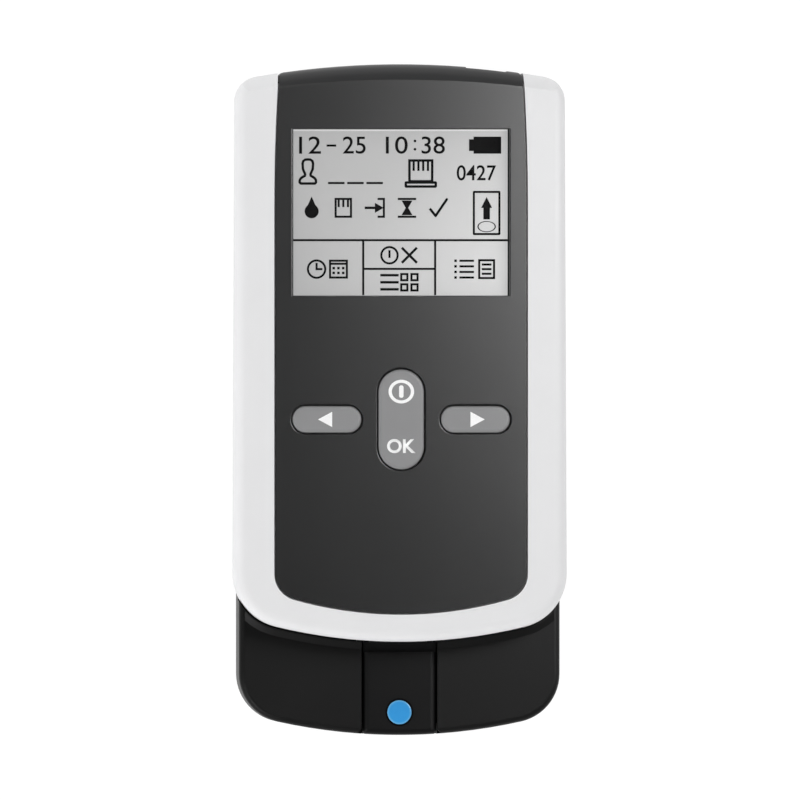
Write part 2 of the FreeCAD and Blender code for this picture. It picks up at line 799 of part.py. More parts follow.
def front_panel():
    body = new_body("front_panel")
    end_corner_y = top.number - 2 * s.crease_inset.number
    pad(panel_outline(Drawing(body, "outline", raised=skirt_low)), face - skirt_low + MARGIN)
    dress(body, "Fillet", "skirt_corner", s.skirt_corner,
          lambda point: point.y > end_corner_y and abs(point.x) > s.panel_half.number / 2)
    crown_cut(body)
    end_cut(body)
    under = Drawing(body, "underside", raised=skirt_low - MARGIN)
    reach = s.panel_half + MARGIN * 2
    under.arched_bar(-reach, reach, panel_low - MARGIN * 2, top - s.skirt_thickness,
                     s.end_arc - s.skirt_thickness, 1)
    cut_up(under, panel_seat - skirt_low + MARGIN)
    window = Drawing(body, "window", raised=face + MARGIN)
    window.rectangle(-s.window_width / 2, s.window_width / 2, window_low, window_top)
    cut_down(window, s.panel_thickness + MARGIN * 2)
    keys = Drawing(body, "key_holes", raised=face + MARGIN)
    for x in both_sides(s.key_spread):
        keys.slot(x, key_row, s.side_key_length + s.key_gap * 2, s.side_key_width + s.key_gap * 2)
    keys.slot(ZERO, key_row, s.middle_key_length + s.key_gap * 2,
              s.middle_key_width + s.key_gap * 2, upright=True)
    cut_down(keys, s.panel_thickness + MARGIN * 2)
    keys_low = key_row.number - s.middle_key_length.number
    dress(body, "Fillet", "opening_round", s.opening_round,
          lambda point: point.z > (face.number + panel_seat.number) / 2 and abs(point.x) < s.glass_half.number
          and keys_low < point.y < window_top.number + s.window_gap.number)
    flat = Drawing(body, "port_flat", raised=skirt_low - MARGIN)
    half_port = s.port_opening_width / 2
    flat_edge = s.end_arc - s.port_flat_depth
    flat.arched_bar(s.port_across - half_port, s.port_across + half_port, top + MARGIN * 3,
                    top - s.port_flat_depth, flat_edge, 1)
    cut_up(flat, face - skirt_low)
    port = Drawing(body, "port_opening", "XZ_Plane", raised=-(top - s.end_wall * 2))
    port_middle = board_under - s.port_height / 2
    port.rounded(s.port_across - half_port, s.port_across + half_port,
                 port_middle - s.port_opening_height / 2, port_middle + s.port_opening_height / 2,
                 s.port_opening_height / 4)
    cut_down(port, s.end_wall * 3)
    return body


def display_lens():
    body = new_body("display_lens")
    flange = Drawing(body, "flange", raised=panel_seat - s.lens_flange_thickness)
    half = s.window_width / 2 + s.lens_flange
    flange.rectangle(-half, half, window_low - s.lens_flange, window_top + s.lens_flange)
    pad(flange, s.lens_flange_thickness)
    plug = Drawing(body, "plug", raised=panel_seat)
    half = s.window_width / 2 - s.window_gap
    plug.rectangle(-half, half, window_low + s.window_gap, window_top - s.window_gap)
    pad(plug, s.panel_thickness + MARGIN)
    crown_cut(body)
    return body


glass_low = window_low - s.glass_over_low
glass_high = window_top + s.glass_over_top
light_up = board_up + s.light_thickness
glass_up = light_up + s.glass_thickness
frame_up = panel_seat - s.lens_flange_thickness - s.glass_gap


def backlight():
    body = new_body("backlight")
    sheet_drawing = Drawing(body, "outline", raised=board_up)
    sheet_drawing.rectangle(-s.glass_half, s.glass_half, glass_low, glass_high)
    pad(sheet_drawing, s.light_thickness)
    return body


def lcd_glass():
    body = new_body("lcd_glass")
    lower = Drawing(body, "lower_plate", raised=light_up)
    lower.rectangle(-s.glass_half, s.glass_half, glass_low, glass_high)
    pad(lower, s.glass_thickness / 2)
    upper = Drawing(body, "upper_plate", raised=light_up + s.glass_thickness / 2)
    upper.rectangle(-s.glass_half, s.glass_half, glass_low + s.glass_over_low / 2, glass_high)
    pad(upper, s.glass_thickness / 2)
    return body


def lcd_frame():
    body = new_body("lcd_frame")
    grown = s.glass_gap + s.frame_wall
    outer = Drawing(body, "outline", raised=board_up)
    outer.rectangle(-s.glass_half - grown, s.glass_half + grown, glass_low - grown, glass_high + grown)
    pad(outer, frame_up - board_up)
    bed = Drawing(body, "bed", raised=board_up)
    bed.rectangle(-s.glass_half - s.glass_gap, s.glass_half + s.glass_gap,
                  glass_low - s.glass_gap, glass_high + s.glass_gap)
    cut_up(bed, glass_up + s.thread_gap - board_up)
    view = Drawing(body, "view", raised=board_up)
    lip = s.frame_lip - s.glass_gap
    view.rectangle(-s.glass_half + lip, s.glass_half - lip, glass_low + lip, glass_high - lip)
    cut_up(view, frame_up - board_up + MARGIN)
    return body


def main_board():
    body = new_body("main_board")
    outline = Drawing(body, "outline", raised=board_under)
    shoulder = top - s.board_shoulder
    right = [(s.board_tongue_half, guide_end), (s.board_tongue_half, board_low),
             (s.board_half, board_low), (s.board_half, shoulder),
             (s.board_neck_half, shoulder), (s.board_neck_half, board_high)]
    outline.polygon(right + [(-x, y) for x, y in reversed(right)])
    pad(outline, s.board_thickness)
    holes = circles(Drawing(body, "screw_holes", raised=board_up + MARGIN), board_screws_at,
                    s.board_screw_radius + s.hole_gap)
    cut_down(holes, s.board_thickness + MARGIN * 2)
    return body


def under_board(label, thickness):
    """A new body and a drawing at the level where a part under the main board ends."""
    body = new_body(label)
    return body, Drawing(body, "outline", raised=board_under - thickness)


def processor_chip():
    body, outline = under_board("processor_chip", s.chip_thickness)
    x, y = s.chip_x, top - s.chip_drop
    half = s.chip_size / 2
    outline.rectangle(x - half, x + half, y - half, y + half)
    pad(outline, s.chip_thickness)
    return body


def clock_cell():
    body, outline = under_board("clock_cell", s.clock_cell_thickness)
    pad(outline.circle(-s.clock_cell_x, top - s.clock_cell_drop, s.clock_cell_radius), s.clock_cell_thickness)
    return body


def buzzer():
    body, outline = under_board("buzzer", s.buzzer_thickness)
    x, y = -s.buzzer_x, top - s.buzzer_drop
    pad(outline.circle(x, y, s.buzzer_radius), s.buzzer_thickness)
    mouth = Drawing(body, "mouth", raised=board_under - s.buzzer_thickness)
    cut_up(mouth.circle(x, y, s.buzzer_mouth), s.buzzer_thickness / 2)
    return body


def port_mouth():
    """Where the data port's mouth lies, just inside the display end."""
    reach = s.end_arc.number**2 - s.port_across.number**2
    arc = Size(math.sqrt(reach), f"sqrt({s.end_arc.text}^2 - {s.port_across.text}^2)")
    return end_centre + arc - s.port_setback


def data_port():
    body = new_body("data_port")
    half = s.port_width / 2
    low = board_under - s.port_height
    mouth = port_mouth()
    shell = Drawing(body, "shell", "XZ_Plane", raised=-(mouth - s.port_length))
    shell.rounded(s.port_across - half, s.port_across + half, low, board_under, s.port_height / 4)
    pad(shell, s.port_length, flipped=True)
    cavity = Drawing(body, "cavity", "XZ_Plane", raised=-(mouth + MARGIN))
    inner = half - s.port_wall
    cavity.rounded(s.port_across - inner, s.port_across + inner, low + s.port_wall,
                   board_under - s.port_wall, s.port_height / 6)
    cut_up(cavity, s.port_length - s.port_wall * 3 + MARGIN)
    tongue = Drawing(body, "tongue", "XZ_Plane", raised=-(mouth - s.port_length + s.port_wall))
    middle = board_under - s.port_height / 2
    tongue.rectangle(s.port_across - inner / 2, s.port_across + inner / 2,
                     middle - s.port_wall, middle + s.port_wall)
    pad(tongue, s.port_length - s.port_wall * 4, flipped=True)
    return body


def strip_connector():
    body = new_body("strip_connector")
    low = s.channel_floor - s.connector_gap
    near_end = guide_end + s.connector_gap
    block = Drawing(body, "block", raised=low)
    block.rectangle(-s.connector_half, s.connector_half, near_end, near_end + s.connector_length)
    pad(block, board_under - low)
    slot = Drawing(body, "slot", raised=s.channel_floor)
    slot.rectangle(-s.connector_slot_half, s.connector_slot_half, near_end - MARGIN,
                   near_end + s.connector_length / 2)
    cut_up(slot, s.connector_slot_height)
    return body


def card_guide():
    body = new_body("card_guide")
    half = s.channel_half + s.guide_wall
    near_end = tip + s.guide_reach
    base = s.channel_floor - s.guide_floor
    block = Drawing(body, "block", raised=base)
    block.rectangle(-half, half, near_end, guide_end)
    pad(block, cover_under - s.tongue_gap * 2 - base)
    channel = Drawing(body, "channel", raised=cover_under)
    channel.rectangle(-s.channel_half, s.channel_half, near_end - MARGIN, guide_end + MARGIN)
    cut_down(channel, s.channel_height)
    window = Drawing(body, "heater_window", raised=s.channel_floor + MARGIN)
    reach = s.heater_half + s.heater_gap
    window.rectangle(-reach, reach, tip + s.heater_from_tip - s.heater_gap,
                     tip + s.heater_from_tip + s.heater_length + s.heater_gap)
    cut_down(window, s.guide_floor + MARGIN * 2)
    return body


def heater_block():
    body = new_body("heater_block")
    base = s.channel_floor - s.guide_floor
    low = tip + s.heater_from_tip
    lip = Drawing(body, "lip", raised=base - s.heater_lip)
    half = s.heater_half + s.heater_lip
    lip.rectangle(-half, half, low - s.heater_lip, low + s.heater_length + s.heater_lip)
    pad(lip, s.heater_lip)
    block = Drawing(body, "block", raised=base)
    block.rectangle(-s.heater_half, s.heater_half, low, low + s.heater_length)
    pad(block, s.guide_floor - s.thread_gap)
    return body


def key(label, x, length, width, slack, upright):
    """A key cap with its flange under the panel."""
    body = new_body(label)
    flange_up = panel_seat - slack
    cap = Drawing(body, "cap", raised=flange_up)
    cap.slot(x, key_row, length, width, upright=upright)
    pad(cap, key_top - flange_up)
    dress(body, "Fillet", "edge", s.key_edge, lambda point: near(point.z, key_top))
    flange = Drawing(body, "flange", raised=flange_up - s.key_flange_thickness)
    flange.slot(x, key_row, length + s.key_flange * 2, width + s.key_flange * 2, upright=upright)
    pad(flange, s.key_flange_thickness)
    return body


def left_key():
    return key("left_key", -s.key_spread, s.side_key_length, s.side_key_width, s.side_key_slack, False)


def right_key():
    return key("right_key", s.key_spread, s.side_key_length, s.side_key_width, s.side_key_slack, False)


ridge_level = panel_seat - s.side_key_slack - s.ridge_radius


def middle_key():
    """The rocking key: a round ridge across its flange is what it rocks on."""
    body = key("middle_key", ZERO, s.middle_key_length, s.middle_key_width, s.middle_key_slack, True)
    ridge = Drawing(body, "ridge", "YZ_Plane")
    ridge.circle(key_row, ridge_level, s.ridge_radius)
    pad(ridge, s.middle_key_width + s.key_flange * 2, both=True)
    return body


def dome(label, x, y, top_level):
    """A rubber dome on the main board, under a key."""
    body = new_body(label)
    profile = Drawing(body, "profile", "XZ_Plane", raised=-y, shifted=x)
    skin = s.dome_wall
    profile.polygon([(ZERO, top_level), (ZERO, top_level - skin * 2), (s.dome_top_radius - skin, top_level - skin * 2),
                     (s.dome_radius - skin, board_up), (s.dome_radius, board_up),
                     (s.dome_top_radius, top_level)])
    turn(profile, "Revolution", "V_Axis")
    return body


side_dome_up = panel_seat - s.side_key_slack - s.key_flange_thickness - s.dome_slack
middle_dome_up = panel_seat - s.middle_key_slack - s.key_flange_thickness - s.dome_slack
domes = {
    "left_key_dome": (-s.key_spread, key_row, side_dome_up),
    "right_key_dome": (s.key_spread, key_row, side_dome_up),
    "power_dome": (ZERO, key_row + s.middle_dome_spread, middle_dome_up),
    "enter_dome": (ZERO, key_row - s.middle_dome_spread, middle_dome_up),
}


def rear_shell():
    body = new_body("rear_shell")
    pad(rear_outline(Drawing(body, "outline", raised=s.foot_proud)), s.rear_depth + s.nose_rise)
    dress(body, "Fillet", "back_round", s.back_round, lambda point: near(point.z, s.foot_proud))
    dress(body, "Fillet", "nose_round", s.nose_round, lambda point: near(point.z, nose_top))
    collar(body)
    seat = Drawing(body, "white_seat", raised=nose_top + MARGIN)
    cut_down(white_outline(seat, s.seam_gap), s.nose_rise + MARGIN)
    hollow = Drawing(body, "hollow", raised=parting)
    rear_outline(hollow, -s.wall)
    island_half = door_half + s.door_gap + s.bay_wall
    island_low = door_low - s.hook_reach - s.hook_room - s.bay_wall
    island_high = door_high + s.hook_room + s.bay_wall
    hollow.rectangle(-island_half, island_half, island_low, island_high)
    cut_down(hollow, s.rear_depth - s.wall)
    cheeks = Drawing(body, "cheeks", raised=parting - MARGIN)
    for side in (1, -1):
        ends = (s.cheek_inner * side, s.cheek_outer * side)
        cheeks.rectangle(*sorted(ends, key=lambda size: size.number),
                         tip + s.cheek_from_tip, white_low - s.seam_gap - s.wall)
    cut_up(cheeks, s.nose_rise - s.wall + MARGIN)
    saddles = Drawing(body, "saddles", raised=back_inside)
    half = s.channel_half + s.guide_wall
    for y in (tip + s.heater_from_tip - s.heater_lip - s.saddle_thickness * 2,
              tip + s.heater_from_tip + s.heater_length + s.heater_lip + s.saddle_thickness):
        saddles.rectangle(-half, half, y, y + s.saddle_thickness)
    pad(saddles, s.channel_floor - s.guide_floor - back_inside)
    posts = circles(Drawing(body, "case_posts", raised=back_inside), case_screws_at, s.case_boss_radius)
    pad(posts, parting - back_inside)
    heads = circles(Drawing(body, "head_recesses", raised=s.foot_proud - MARGIN), case_screws_at,
                    s.case_head_radius + s.hole_gap)
    cut_up(heads, s.case_head_recess + MARGIN)
    holes = circles(Drawing(body, "screw_holes", raised=s.foot_proud), case_screws_at,
                    s.case_screw_radius + s.hole_gap)
    cut_up(holes, s.rear_depth + MARGIN)
    feet = circles(Drawing(body, "foot_recesses", raised=s.foot_proud - MARGIN), feet_at.values(),
                   s.foot_radius + s.foot_gap)
    cut_up(feet, s.foot_recess + MARGIN)
    sound = Drawing(body, "sound_slots", raised=s.foot_proud - MARGIN)
    for step in (-1, 0, 1):
        sound.slot(-s.buzzer_x, top - s.buzzer_drop + s.sound_slot_pitch * step,
                   s.sound_slot_length, s.sound_slot_width)
    cut_up(sound, s.wall + MARGIN * 2)
    battery_bay(body)
    cover_way(body)
    return body


def collar(body):
    """A low rim on the nose that follows the white shell's edge and slopes down to the nose."""
    rim = Drawing(body, "collar", raised=nose_top)
    pad(white_outline(rim, s.seam_gap + s.collar_width), s.collar_height)
    trim = Drawing(body, "collar_trim", raised=nose_top + s.collar_height + MARGIN)
    edge = s.nose_half - s.nose_round
    far = s.white_half_low + s.white_half_top
    trim.rectangle(edge, far, tip - MARGIN, white_low + s.white_low_corner)
    trim.rectangle(-far, -edge, tip - MARGIN, white_low + s.white_low_corner)
    trim.rectangle(-far, far, white_low + s.white_low_corner, top * 2)
    cut_down(trim, s.collar_height + MARGIN)
    collar_up = nose_top + s.collar_height
    dress(body, "Chamfer", "collar_slope", s.collar_height - s.collar_foot,
          lambda point: near(point.z, collar_up) and abs(point.x) < edge.number + s.seam_gap.number
          and point.y < white_low.number + s.white_low_corner.number - s.seam_gap.number,
          second=s.collar_slope)


def battery_bay(body):
    """Cut the bay, the door's recess and the slots for its hooks and catch."""
    recess = Drawing(body, "door_recess", raised=s.foot_proud - MARGIN)
    recess.rounded(-door_half - s.door_gap, door_half + s.door_gap, door_low - s.door_gap,
                   door_high + s.door_gap, s.door_corner + s.door_gap)
    cut_up(recess, s.door_thickness + s.cell_gap + MARGIN)
    bay = Drawing(body, "bay", raised=s.foot_proud)
    bay.rectangle(-bay_half, bay_half, bay_low, bay_high)
    cut_up(bay, bay_up - s.foot_proud)
    room = s.hook_width / 2 + s.door_gap
    slots_up = hook_up + s.hook_room
    under_lip = Drawing(body, "hook_slots", raised=lip_top)
    above_ledge = Drawing(body, "hook_ways", raised=s.foot_proud)
    for x in both_sides(s.hook_spread):
        under_lip.rectangle(x - room, x + room, door_low - s.hook_reach - s.hook_room, bay_low + MARGIN)
        above_ledge.rectangle(x - room, x + room, door_low - s.door_gap, bay_low + MARGIN)
    cut_up(under_lip, slots_up - lip_top)
    cut_up(above_ledge, slots_up - s.foot_proud)
    half = s.catch_width / 2 + s.door_gap
    catch_lip = Drawing(body, "catch_slot", raised=lip_top)
    catch_lip.rectangle(-half, half, bay_high - MARGIN, door_high + s.hook_room)
    cut_up(catch_lip, slots_up - lip_top)
    catch_way = Drawing(body, "catch_way", raised=s.foot_proud)
    catch_way.rectangle(-half, half, bay_high - MARGIN, door_high + s.door_gap)
    cut_up(catch_way, slots_up - s.foot_proud)


def cover_way(body):
    """Cut the way for the cover, its tongues, the card guide and the card's mouth in the nose."""
    inside = white_low + MARGIN
    cover_slot = Drawing(body, "cover_slot", raised=nose_top + MARGIN)
    half = s.cover_half + s.cover_gap
    cover_slot.rectangle(-half, half, tip - MARGIN, inside)
    cut_down(cover_slot, nose_top - cover_under + s.tongue_gap + MARGIN)
    grooves = Drawing(body, "grooves", raised=cover_under - s.tongue_gap)
    reach = s.cover_half + s.tongue_width + s.tongue_gap
    grooves.rectangle(-reach, reach, tip - MARGIN, inside)
    cut_up(grooves, s.tongue_thickness + s.tongue_gap * 2)
    mouth = Drawing(body, "mouth", raised=s.channel_floor)
    mouth.rectangle(-half, half, tip - MARGIN, inside)
    cut_up(mouth, s.channel_height)
    seat = Drawing(body, "guide_seat", raised=s.channel_floor - s.guide_floor)
    half_guide = s.channel_half + s.guide_wall + s.tongue_gap
    seat.rectangle(-half_guide, half_guide, tip + s.guide_reach - s.tongue_gap, inside)
    cut_up(seat, cover_under - s.tongue_gap - s.channel_floor + s.guide_floor)
    flute = Drawing(body, "flute", raised=s.foot_proud - MARGIN)
    half_flute = s.cover_half - s.cover_corner
    flute.rectangle(-half_flute, half_flute, tip - MARGIN, tip + s.flute_depth)
    cut_up(flute, s.channel_floor - s.foot_proud + MARGIN * 2)
    corners = Drawing(body, "slot_corners", raised=nose_top + MARGIN)
    for side in (1, -1):
        corners.polygon([(half * side, tip), ((half + s.cover_corner * 2) * side, tip),
                         (half * side, tip + s.cover_corner * 2)])
    cut_down(corners, nose_top - cover_under + s.tongue_gap + MARGIN)


def strip_port_cover():
    body = new_body("strip_port_cover")
    plate = Drawing(body, "plate", raised=cover_under)
    plate.arched_bar(-s.cover_half, s.cover_half, white_low + MARGIN, tip, s.nose_arc, -1)
    pad(plate, nose_top - cover_under)
    dress(body, "Fillet", "corner", s.cover_corner, lambda point: point.y < tip.number + 2 * s.nose_round.number
          and near(abs(point.x), s.cover_half))
    dress(body, "Fillet", "tip_round", s.nose_round,
          lambda point: near(point.z, nose_top) and point.y < tip.number + 2 * s.nose_round.number)
    end = Drawing(body, "white_clearance", raised=nose_top + MARGIN)
    cut_down(white_outline(end, s.seam_gap), nose_top - cover_under + MARGIN * 2)
    tongues = Drawing(body, "tongues", raised=cover_under)
    reach = s.cover_half + s.tongue_width
    tongues.rectangle(-reach, reach, tip + s.guide_reach, white_low - s.seam_gap * 4)
    pad(tongues, s.tongue_thickness)
    band = Drawing(body, "thumb_band", raised=nose_top + MARGIN)
    reach = s.cover_half + MARGIN
    band.rectangle(-reach, reach, white_low - s.thumb_band, white_low + MARGIN)
    cut_down(band, s.thumb_step + MARGIN)
    recess = Drawing(body, "dot_recess", raised=nose_top + MARGIN)
    recess.circle(ZERO, tip + s.dot_from_tip, s.dot_radius + s.dot_gap)
    cut_down(recess, s.dot_recess + MARGIN)
    return body


def cover_dot():
    body = new_body("cover_dot")
    outline = Drawing(body, "outline", raised=nose_top - s.dot_recess)
    outline.circle(ZERO, tip + s.dot_from_tip, s.dot_radius)
    pad(outline, s.dot_recess + s.dot_proud)
    dress(body, "Fillet", "edge", s.dot_gap, lambda point: near(point.z, nose_top + s.dot_proud))
    return body


def battery_door():
    body = new_body("battery_door")
    plate = Drawing(body, "plate", raised=s.foot_proud)
    plate.rounded(-door_half, door_half, door_low, door_high, s.door_corner)
    pad(plate, s.door_thickness)
    grip = Drawing(body, "grip", raised=s.foot_proud - MARGIN)
    grip.slot(ZERO, door_high - s.grip_width, s.grip_length, s.grip_width)
    cut_up(grip, s.grip_depth + MARGIN)
    ribs = Drawing(body, "grip_ribs", raised=s.foot_proud - MARGIN)
    for step in (-1, 0, 1):
        ribs.slot(ZERO, door_high - s.grip_width + s.rib_pitch * step, s.grip_length - s.grip_width, s.rib_width)
    cut_up(ribs, s.grip_depth + s.rib_depth + MARGIN)
    arms = Drawing(body, "hook_arms", raised=door_inside)
    hooks = Drawing(body, "hooks", raised=hook_low)
    for x in both_sides(s.hook_spread):
        half = s.hook_width / 2
        arms.rectangle(x - half, x + half, door_low + s.door_gap, door_low + s.hook_thickness + s.door_gap)
        hooks.rectangle(x - half, x + half, door_low - s.hook_reach, door_low + s.hook_thickness)
    pad(arms, hook_up - door_inside)
    pad(hooks, s.hook_thickness)
    half = s.catch_width / 2
    arm = Drawing(body, "catch_arm", raised=door_inside)
    arm.rectangle(-half, half, door_high - s.hook_thickness - s.catch_slack, door_high - s.catch_slack)
    pad(arm, hook_up - door_inside)
    catch = Drawing(body, "catch", raised=hook_low)
    catch.rectangle(-half, half, door_high - s.hook_thickness, door_high)
    pad(catch, s.hook_thickness / 2)
    return body


CELLS = 4


def cell_places():
    """Where the cells lie across the bay, from left to right."""
    return [s.cell_pitch * (index - (CELLS - 1) / 2) for index in range(CELLS)]


def battery_cell(label, x, upwards):
    body = new_body(label)
    near_end, far_end = (cell_low, cell_high) if upwards else (-cell_high, -cell_low)
    shoulder = far_end - s.cell_nub_length
    points = [(near_end, ZERO), (near_end, s.cell_radius - s.cell_edge),
              (near_end + s.cell_edge, s.cell_radius), (shoulder - s.cell_edge, s.cell_radius),
              (shoulder, s.cell_radius - s.cell_edge), (shoulder, s.cell_nub_radius),
              (far_end, s.cell_nub_radius), (far_end, ZERO)]
    if not upwards:
        points = [(-y, z) for y, z in points]
    profile = Drawing(body, "profile", "YZ_Plane", raised=x, lifted=cell_level)
    profile.polygon(points)
    turn(profile, "Revolution", "H_Axis")
    return body


def battery_contacts(label, wall_at, cell_at, facing):
    """Four leaf springs that stand on an end wall of the bay and lean on the cells."""
    body = new_body(label)
    sheet_gap = s.contact_thickness
    touch = cell_at - s.contact_gap * facing
    width = s.contact_width
    high, low = cell_level + width / 2, cell_level - width / 2
    leaf = [(wall_at, low), (wall_at, high), (wall_at + sheet_gap * facing, high),
            (touch, cell_level + sheet_gap), (touch, cell_level - sheet_gap),
            (touch - sheet_gap * 2 * facing, low + sheet_gap),
            (touch - sheet_gap * 3 * facing, low + sheet_gap * 2),
            (touch - sheet_gap * facing, cell_level), (wall_at + sheet_gap * facing, high - sheet_gap * 2),
            (wall_at + sheet_gap * facing, low)]
    for index, x in enumerate(cell_places()):
        profile = Drawing(body, f"leaf_{index + 1}", "YZ_Plane", raised=x)
        pad(profile.polygon(leaf), width, both=True)
    return body


def case_screws():
    body = new_body("case_screws")
    seat = s.foot_proud + s.case_head_recess
    heads = Drawing(body, "heads", raised=seat - s.case_head_thickness)
    pad(circles(heads, case_screws_at, s.case_head_radius), s.case_head_thickness)
    shanks = Drawing(body, "shanks", raised=seat)
    pad(circles(shanks, case_screws_at, s.case_screw_radius), s.case_screw_length)
    return body


def board_screws():
    body = new_body("board_screws")
    heads = Drawing(body, "heads", raised=board_under - s.board_head_thickness)
    pad(circles(heads, board_screws_at, s.board_head_radius), s.board_head_thickness)
    shanks = Drawing(body, "shanks", raised=board_under)
    pad(circles(shanks, board_screws_at, s.board_screw_radius), s.board_screw_length)
    return body


def foot(label, x, y):
    body = new_body(label)
    pad(Drawing(body, "outline").circle(x, y, s.foot_radius), s.foot_proud + s.foot_recess)
    dress(body, "Chamfer", "edge", s.foot_proud / 2, lambda point: near(point.z, ZERO))
    return body


def build():
    bodies = [make() for make in (
        rear_shell, front_shell, front_panel, display_lens, lcd_frame, lcd_glass, backlight,
        main_board, processor_chip, clock_cell, buzzer, data_port, strip_connector, card_guide,
        heater_block, left_key, right_key, middle_key, strip_port_cover, cover_dot, battery_door,
        case_screws, board_screws)]
    bodies += [dome(label, *place) for label, place in domes.items()]
    bodies += [foot(label, *place) for label, place in feet_at.items()]
    bodies += [battery_cell(f"battery_cell_{index + 1}", x, index % 2 == 0)
               for index, x in enumerate(cell_places())]
    bodies.append(battery_contacts("battery_contacts_low", bay_low, cell_low, 1))
    bodies.append(battery_contacts("battery_contacts_top", bay_high, cell_high, -1))
    return bodies


def check(bodies):
    """Stop if any object failed, or any sub-part has no sound shape."""
    doc.recompute()
    for item in doc.Objects:
        if {"Invalid", "Error"} & set(item.State):
            raise ValueError(f"{item.Label} failed: {item.State}")
    for body in bodies:
        if body.Shape.isNull() or not body.Shape.isValid():
            raise ValueError(f"{body.Label} has no sound shape")


parts = build()
check(parts)
os.makedirs("parts", exist_ok=True)
for part in parts:
    part.Shape.exportStep(f"parts/{part.Label}.step")
    print(f"{part.Label}: {len(part.Shape.Solids)} solids, {part.Shape.Volume:.1f} mm3")
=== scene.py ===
"""The looks of a hand-held clotting-time meter that lies on its back, seen from in front.

Metres throughout. +Z comes out of the display face, +Y is the display end, +X is to the right.
"""

import math

import bpy
from mathutils import Matrix, Vector


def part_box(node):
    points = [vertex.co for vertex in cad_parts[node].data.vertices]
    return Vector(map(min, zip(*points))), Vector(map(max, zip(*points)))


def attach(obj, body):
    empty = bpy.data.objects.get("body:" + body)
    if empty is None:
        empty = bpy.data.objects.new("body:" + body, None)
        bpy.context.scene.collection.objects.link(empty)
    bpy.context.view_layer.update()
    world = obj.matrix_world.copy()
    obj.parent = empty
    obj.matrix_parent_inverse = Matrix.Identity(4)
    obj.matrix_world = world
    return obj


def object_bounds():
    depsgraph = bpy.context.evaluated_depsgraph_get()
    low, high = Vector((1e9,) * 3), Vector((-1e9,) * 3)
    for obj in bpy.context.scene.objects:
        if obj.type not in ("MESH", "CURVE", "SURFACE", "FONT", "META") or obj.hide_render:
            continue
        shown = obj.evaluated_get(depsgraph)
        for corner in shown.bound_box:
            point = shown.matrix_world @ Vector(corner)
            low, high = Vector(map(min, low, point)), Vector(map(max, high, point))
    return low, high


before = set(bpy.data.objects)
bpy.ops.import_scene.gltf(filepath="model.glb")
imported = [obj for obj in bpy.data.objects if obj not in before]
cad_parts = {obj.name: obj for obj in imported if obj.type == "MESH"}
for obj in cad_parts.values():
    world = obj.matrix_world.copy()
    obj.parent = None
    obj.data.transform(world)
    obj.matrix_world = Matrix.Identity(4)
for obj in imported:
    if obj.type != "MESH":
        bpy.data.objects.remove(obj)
cad_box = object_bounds()
bpy.ops.object.select_all(action="DESELECT")

MM = 0.001


class Value:
    """A number that varies over a surface: a socket whose sums add Math nodes."""

    def __init__(self, finish, socket):
        self.finish = finish
        self.socket = socket

    def math(self, operation, *operands):
        inputs = dict(enumerate(operands))
        return self.finish.node("ShaderNodeMath", {"operation": operation}, inputs)

    def __add__(self, other):
        return self.math("ADD", self, other)

    def __radd__(self, other):
        return self.math("ADD", other, self)

    def __sub__(self, other):
        return self.math("SUBTRACT", self, other)

    def __rsub__(self, other):
        return self.math("SUBTRACT", other, self)

    def __mul__(self, other):
        return self.math("MULTIPLY", self, other)

    def __rmul__(self, other):
        return self.math("MULTIPLY", other, self)

    def __truediv__(self, other):
        return self.math("DIVIDE", self, other)

    def __pow__(self, other):
        return self.math("POWER", self, other)

    def between(self, low, high):
        """0 below low, 1 above high, and smooth from one to the other."""
        settings = {"interpolation_type": "SMOOTHSTEP", "clamp": True}
        inputs = {0: self, 1: low, 2: high, 3: 0.0, 4: 1.0}
        return self.finish.node("ShaderNodeMapRange", settings, inputs)


